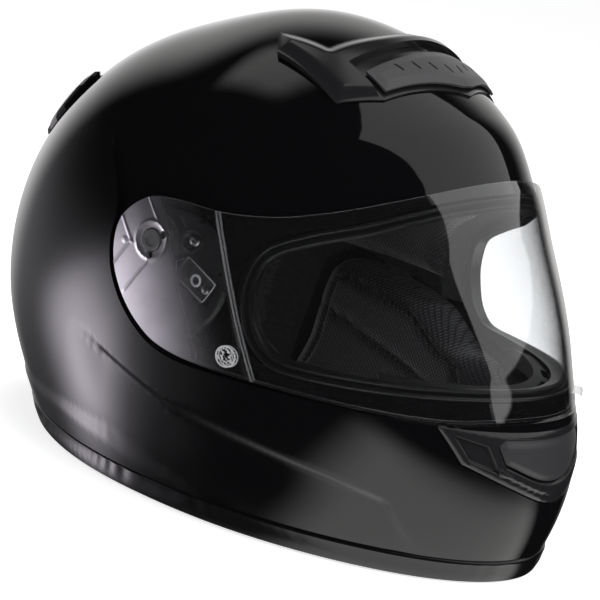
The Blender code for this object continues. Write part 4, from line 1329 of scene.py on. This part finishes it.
def strap_path(end):
    """Middle line of a strap as (distance from the middle, height): down the shell, then under the chin."""
    heights = np.array((STRAP_TOP + 10.0, 96.0, 80.0, 62.0, 46.0, 32.0, 22.0))
    across = np.minimum(111.1, envelope_x(np.full(7, STRAP_MIDDLE), heights, -12.8))
    path = list(zip(across, heights))
    bend = 14.0
    for degrees in (20, 45, 70, 90):
        turn = math.radians(degrees)
        path.append((
            across[-1] - 2.0 - bend * (1.0 - math.cos(turn)), STRAP_LOW + bend * (1.0 - math.sin(turn))
        ))
    path.append((end, STRAP_LOW))
    return path


def ribbon(name, path, side, half_width, low, high, material):
    """A flat strap along a path in the plane across the helmet, between two distances to the path's left."""
    line = np.array([(side * x, STRAP_MIDDLE, z) for x, z in path])
    line = even_loop(line, 60, closed=False)
    ahead = np.gradient(line, axis=0)
    ahead /= np.linalg.norm(ahead, axis=1, keepdims=True)
    left = np.stack([-side * ahead[:, 2], np.zeros(len(line)), side * ahead[:, 0]], -1)
    middle, half = (low + high) / 2.0, (high - low) / 2.0
    section = []
    for step in range(24):
        turn = step * 2 * math.pi / 24
        cosine, sine = math.cos(turn), math.sin(turn)
        u = math.copysign(abs(cosine) ** 0.25, cosine) * half_width
        v = math.copysign(abs(sine) ** 0.6, sine) * half
        section.append((u, v))
    return swept(
        name, line + left * middle, section, material, normals=left, closed=False, smooth_angle=60.0
    )


def make_straps():
    for side, word, end, pad_end in ((-1, "right", -2.5, 16.0), (1, "left", 66.5, 68.0)):
        path = strap_path(end)
        strap = ribbon(
            "strap_web_" + word, path, side, STRAP_WIDTH / 2, -STRAP_THICK / 2, STRAP_THICK / 2,
            MATERIALS["webbing"],
        )
        piece(strap, "helmet", "webbing", "strap_" + word)
        low = [point for point in path[:-1] if point[1] < 9.0 and point[0] > pad_end]
        pad = ribbon(
            "strap_sleeve_" + word, low + [(pad_end, STRAP_LOW)], side, STRAP_WIDTH / 2 + 5.5,
            -STRAP_THICK / 2 - 5.4, -STRAP_THICK / 2 - 0.3, MATERIALS["brushed"],
        )
        piece(pad, "helmet", "lining_cloth", "strap_pad_" + word)


# ---------------------------------------------------------------- carried-over nodes

def dress_nodes():
    """Gives the CAD nodes that no skin stands for their materials."""
    finishes = {"buckle_body": "steel", "buckle_pin": "steel", "buckle_lever": "red", "strap_tongue": "dark"}
    for word in ("left", "right"):
        finishes["rear_vent_" + word] = "gloss"
        finishes["cheek_pad_base_" + word] = "foam"
        for kind in ("lock_spring_", "strap_anchor_", "strap_rivet_"):
            finishes[kind + word] = "steel"
    for name, finish in finishes.items():
        node = frame["nodes"][name]
        node.data.materials.clear()
        node.data.materials.append(MATERIALS[finish])
        node.data.shade_smooth()
        node.data.set_sharp_from_angle(angle=math.radians(30))
        if finish in ("steel", "red", "dark"):
            soften(node, 0.4, 2)


# ---------------------------------------------------------------- camera, stage and light

CAMERA_AZIMUTH, CAMERA_HEIGHT, CAMERA_ROLL = -57.37, 10.948, 12.284
CAMERA_DISTANCE, CAMERA_LENS = 1172.64, 129.04
CAMERA_TARGET = Vector((0.0, -10.0, 125.0))
CAMERA_AIM = (0.00568, -0.02538)


def camera_axes():
    azimuth, height, roll = (math.radians(v) for v in (CAMERA_AZIMUTH, CAMERA_HEIGHT, CAMERA_ROLL))
    back = Vector((
        math.sin(azimuth) * math.cos(height), -math.cos(azimuth) * math.cos(height), math.sin(height)
    ))
    right = (-back).cross(Vector((0, 0, 1))).normalized()
    up = right.cross(-back)
    side = right * math.cos(roll) + up * math.sin(roll)
    above = up * math.cos(roll) - right * math.sin(roll)
    return side, above, back


def make_camera():
    side, above, back = camera_axes()
    place = CAMERA_TARGET + back * CAMERA_DISTANCE
    forward = (-back + side * CAMERA_AIM[0] + above * CAMERA_AIM[1]).normalized()
    right = forward.cross(above).normalized()
    up = right.cross(forward)
    data = bpy.data.cameras.new("camera")
    data.lens = CAMERA_LENS
    data.sensor_width = 36.0
    camera = bpy.data.objects.new("camera", data)
    turn = Matrix((right, up, -forward)).transposed()
    camera.matrix_world = Matrix.Translation((place + Vector((0, SHIFT_Y, 0))) * MM) @ turn.to_4x4()
    bpy.context.scene.collection.objects.link(camera)
    bpy.context.scene.camera = camera


def area_light(name, place, target, size, power, colour=(1.0, 1.0, 1.0)):
    """A soft box in design millimetres, facing its target."""
    data = bpy.data.lights.new(name, "AREA")
    data.shape = "RECTANGLE"
    data.size, data.size_y = size[0] * MM, size[1] * MM
    data.energy = power
    data.color = colour
    lamp = bpy.data.objects.new(name, data)
    shift = Vector((0, SHIFT_Y, 0))
    start, end = (Vector(place) + shift) * MM, (Vector(target) + shift) * MM
    turn = (end - start).to_track_quat("-Z", "Y").to_matrix().to_4x4()
    lamp.matrix_world = Matrix.Translation(start) @ turn
    bpy.context.scene.collection.objects.link(lamp)
    return lamp


def make_stage():
    mesh = bpy.data.meshes.new("floor")
    mesh.from_pydata([(-6, -6, 0), (6, -6, 0), (6, 6, 0), (-6, 6, 0)], [], [(0, 1, 2, 3)])
    floor = bpy.data.objects.new("floor", mesh)
    m = Shading("floor_white", (0.9, 0.9, 0.9), 0.9, Specular_IOR_Level=0.0, Emission_Strength=0.72)
    m.shader.inputs["Emission Color"].default_value = (1.0, 1.0, 1.0, 1.0)
    m.roughness(m.noise(3.0), 0.85, 0.95)
    mesh.materials.append(m.material)
    floor.visible_glossy = False
    floor.location.z = -0.0005
    bpy.context.scene.collection.objects.link(floor)


# Soft panels that the gloss mirrors. Each is seen round a middle direction (azimuth, elevation), with 0
# ahead of the helmet and 90 to the wearer's left, turned about it. Its offset, half size and soft edge are
# tangents.
PANELS = {
    "front_left_box": ((38.0, 36.0), -6.6, (-0.04, 0.41), (0.58, 0.74), 0.02, (0.9, 0.9, 0.9)),
    "rear_backdrop": ((128.0, 14.0), 0.0, (0.0, 0.0), (0.35, 0.25), 0.6, (0.8, 0.79, 0.78)),
    "crown_strip": ((176.0, 66.0), 12.0, (0.0, 0.0), (0.12, 0.12), 0.22, (0.9, 0.9, 0.88)),
    "front_floor_glow": ((-8.0, -48.0), 0.0, (0.0, 0.0), (0.8, 0.25), 0.65, (1.5, 1.5, 1.47)),
}
# Glows fall off smoothly from a middle direction: (direction), turn, spread across and along, colour.
GLOWS = {
    "rear_floor": ((-157.3, -28.8), 75.6, (0.15, 0.276), (5.15, 4.8, 5.35)),
    "rear_room": ((177.0, -16.2), 21.3, (2.0, 0.307), (0.37, 0.36, 0.38)),
    "floor_below": ((-90.0, -86.0), 0.0, (0.45, 0.45), (2.2, 2.15, 2.2)),
}
DIFFUSE_SKY = (0.28, 0.28, 0.29)
DARK_ROOM = 0.004


def direction(azimuth, elevation):
    azimuth, elevation = math.radians(azimuth), math.radians(elevation)
    level = math.cos(elevation)
    return Vector((math.sin(azimuth) * level, -math.cos(azimuth) * level, math.sin(elevation)))


def facing(middle, turn):
    """A direction and the two axes across it, turned about it."""
    ahead = direction(*middle)
    side = ahead.cross(Vector((0, 0, 1))).normalized()
    above = side.cross(ahead)
    cosine, sine = math.cos(math.radians(turn)), math.sin(math.radians(turn))
    return ahead, side * cosine + above * sine, above * cosine - side * sine


class Sky(Nodes):
    """The world's light as a sum of panels and glows."""

    def __init__(self, tree):
        super().__init__(tree)
        self.look = self.node("ShaderNodeTexCoord").outputs["Generated"]

    def vector(self, operation, name, first, second):
        """A vector node, whose inputs are vectors, numbers or sockets."""
        node = self.node("ShaderNodeVectorMath", operation=operation)
        places = (node.inputs[0], node.inputs["Scale"] if operation == "SCALE" else node.inputs[1])
        for socket, value in zip(places, (first, second)):
            if isinstance(value, bpy.types.NodeSocket):
                self.link(value, socket)
            else:
                socket.default_value = value
        return node.outputs[name]

    def along(self, axis):
        return self.vector("DOT_PRODUCT", "Value", self.look, axis)

    def spread(self, middle, turn):
        """Depth towards a middle direction, and how far to each side of it the look goes."""
        ahead, across, upward = facing(middle, turn)
        depth = self.along(ahead)
        return depth, [self.math("DIVIDE", self.along(axis), self.math("MAXIMUM", depth, 0.02))
                       for axis in (across, upward)]

    def glow(self, middle, turn, sizes):
        """1 in a direction, falling away smoothly round it."""
        depth, ratios = self.spread(middle, turn)
        total = 0.0
        for ratio, size in zip(ratios, sizes):
            away = self.math("ABSOLUTE", self.math("DIVIDE", ratio, size))
            total = self.math("ADD", total, self.math("POWER", away, 2.0))
        share = self.math("EXPONENT", self.math("MULTIPLY", total, -1.0))
        return self.math("MULTIPLY", share, self.eased(depth, 0.02, 0.08))

    def panel(self, middle, turn, offset, half_size, softness):
        """1 inside a rectangle seen in a direction, falling to 0 over its soft edge."""
        depth, ratios = self.spread(middle, turn)
        shares = [self.eased(depth, 0.02, 0.08)]
        for ratio, start, half in zip(ratios, offset, half_size):
            away = self.math("ABSOLUTE", self.math("SUBTRACT", ratio, start))
            shares.append(self.outside(away, half, half + softness))
        return self.product(*shares)

    def pick(self, switch, off, on):
        node = self.node("ShaderNodeMix", data_type="RGBA")
        self.link(switch, node.inputs["Factor"])
        for socket, value in (("A", off), ("B", on)):
            if isinstance(value, tuple):
                node.inputs[socket].default_value = (*value, 1.0)
            else:
                self.link(value, node.inputs[socket])
        return node.outputs["Result"]


def make_world():
    world = bpy.data.worlds.new("studio")
    bpy.context.scene.world = world
    bpy.context.scene.view_settings.view_transform = "Standard"
    world.use_nodes = True
    sky = Sky(world.node_tree)
    shares = [(sky.panel(*shape), colour) for *shape, colour in PANELS.values()]
    shares += [(sky.glow(*shape), colour) for *shape, colour in GLOWS.values()]
    total = (DARK_ROOM,) * 3
    for share, colour in shares:
        total = sky.vector("ADD", "Vector", total, sky.vector("SCALE", "Vector", colour, share))
    path = sky.node("ShaderNodeLightPath")
    light = sky.pick(path.outputs["Is Glossy Ray"], DIFFUSE_SKY, total)
    seen = sky.pick(path.outputs["Is Camera Ray"], light, (1.0, 1.0, 1.0))
    sky.link(seen, sky.tree.nodes["Background"].inputs["Color"])


def make_lights():
    """Area lights shape the matt pieces and the floor; the gloss mirrors the world's panels instead."""
    lamps = (
        area_light("key_box", (500, -1300, 1100), (0, -60, 130), (900, 900), 12.0),
        area_light("top_box", (0, -100, 1800), (0, 0, 130), (1200, 1200), 18.0),
        area_light("side_box", (-1400, -500, 500), (0, -20, 120), (600, 600), 3.0),
    )
    for lamp in lamps:
        lamp.visible_glossy = False


def main():
    make_shell()
    make_trim()
    make_foam()
    make_crown_pad()
    make_neck_roll()
    make_chin_liner()
    make_seal()
    make_deflector()
    make_visor()
    make_top_vent()
    make_chin_vent()
    for side, word in ((-1, "right"), (1, "left")):
        make_cheek_pad(side, word)
        make_base(side, word)
        make_lock(side, word)
    make_straps()
    dress_nodes()
    make_camera()
    make_stage()
    make_world()
    make_lights()
    bpy.context.view_layer.update()


main()
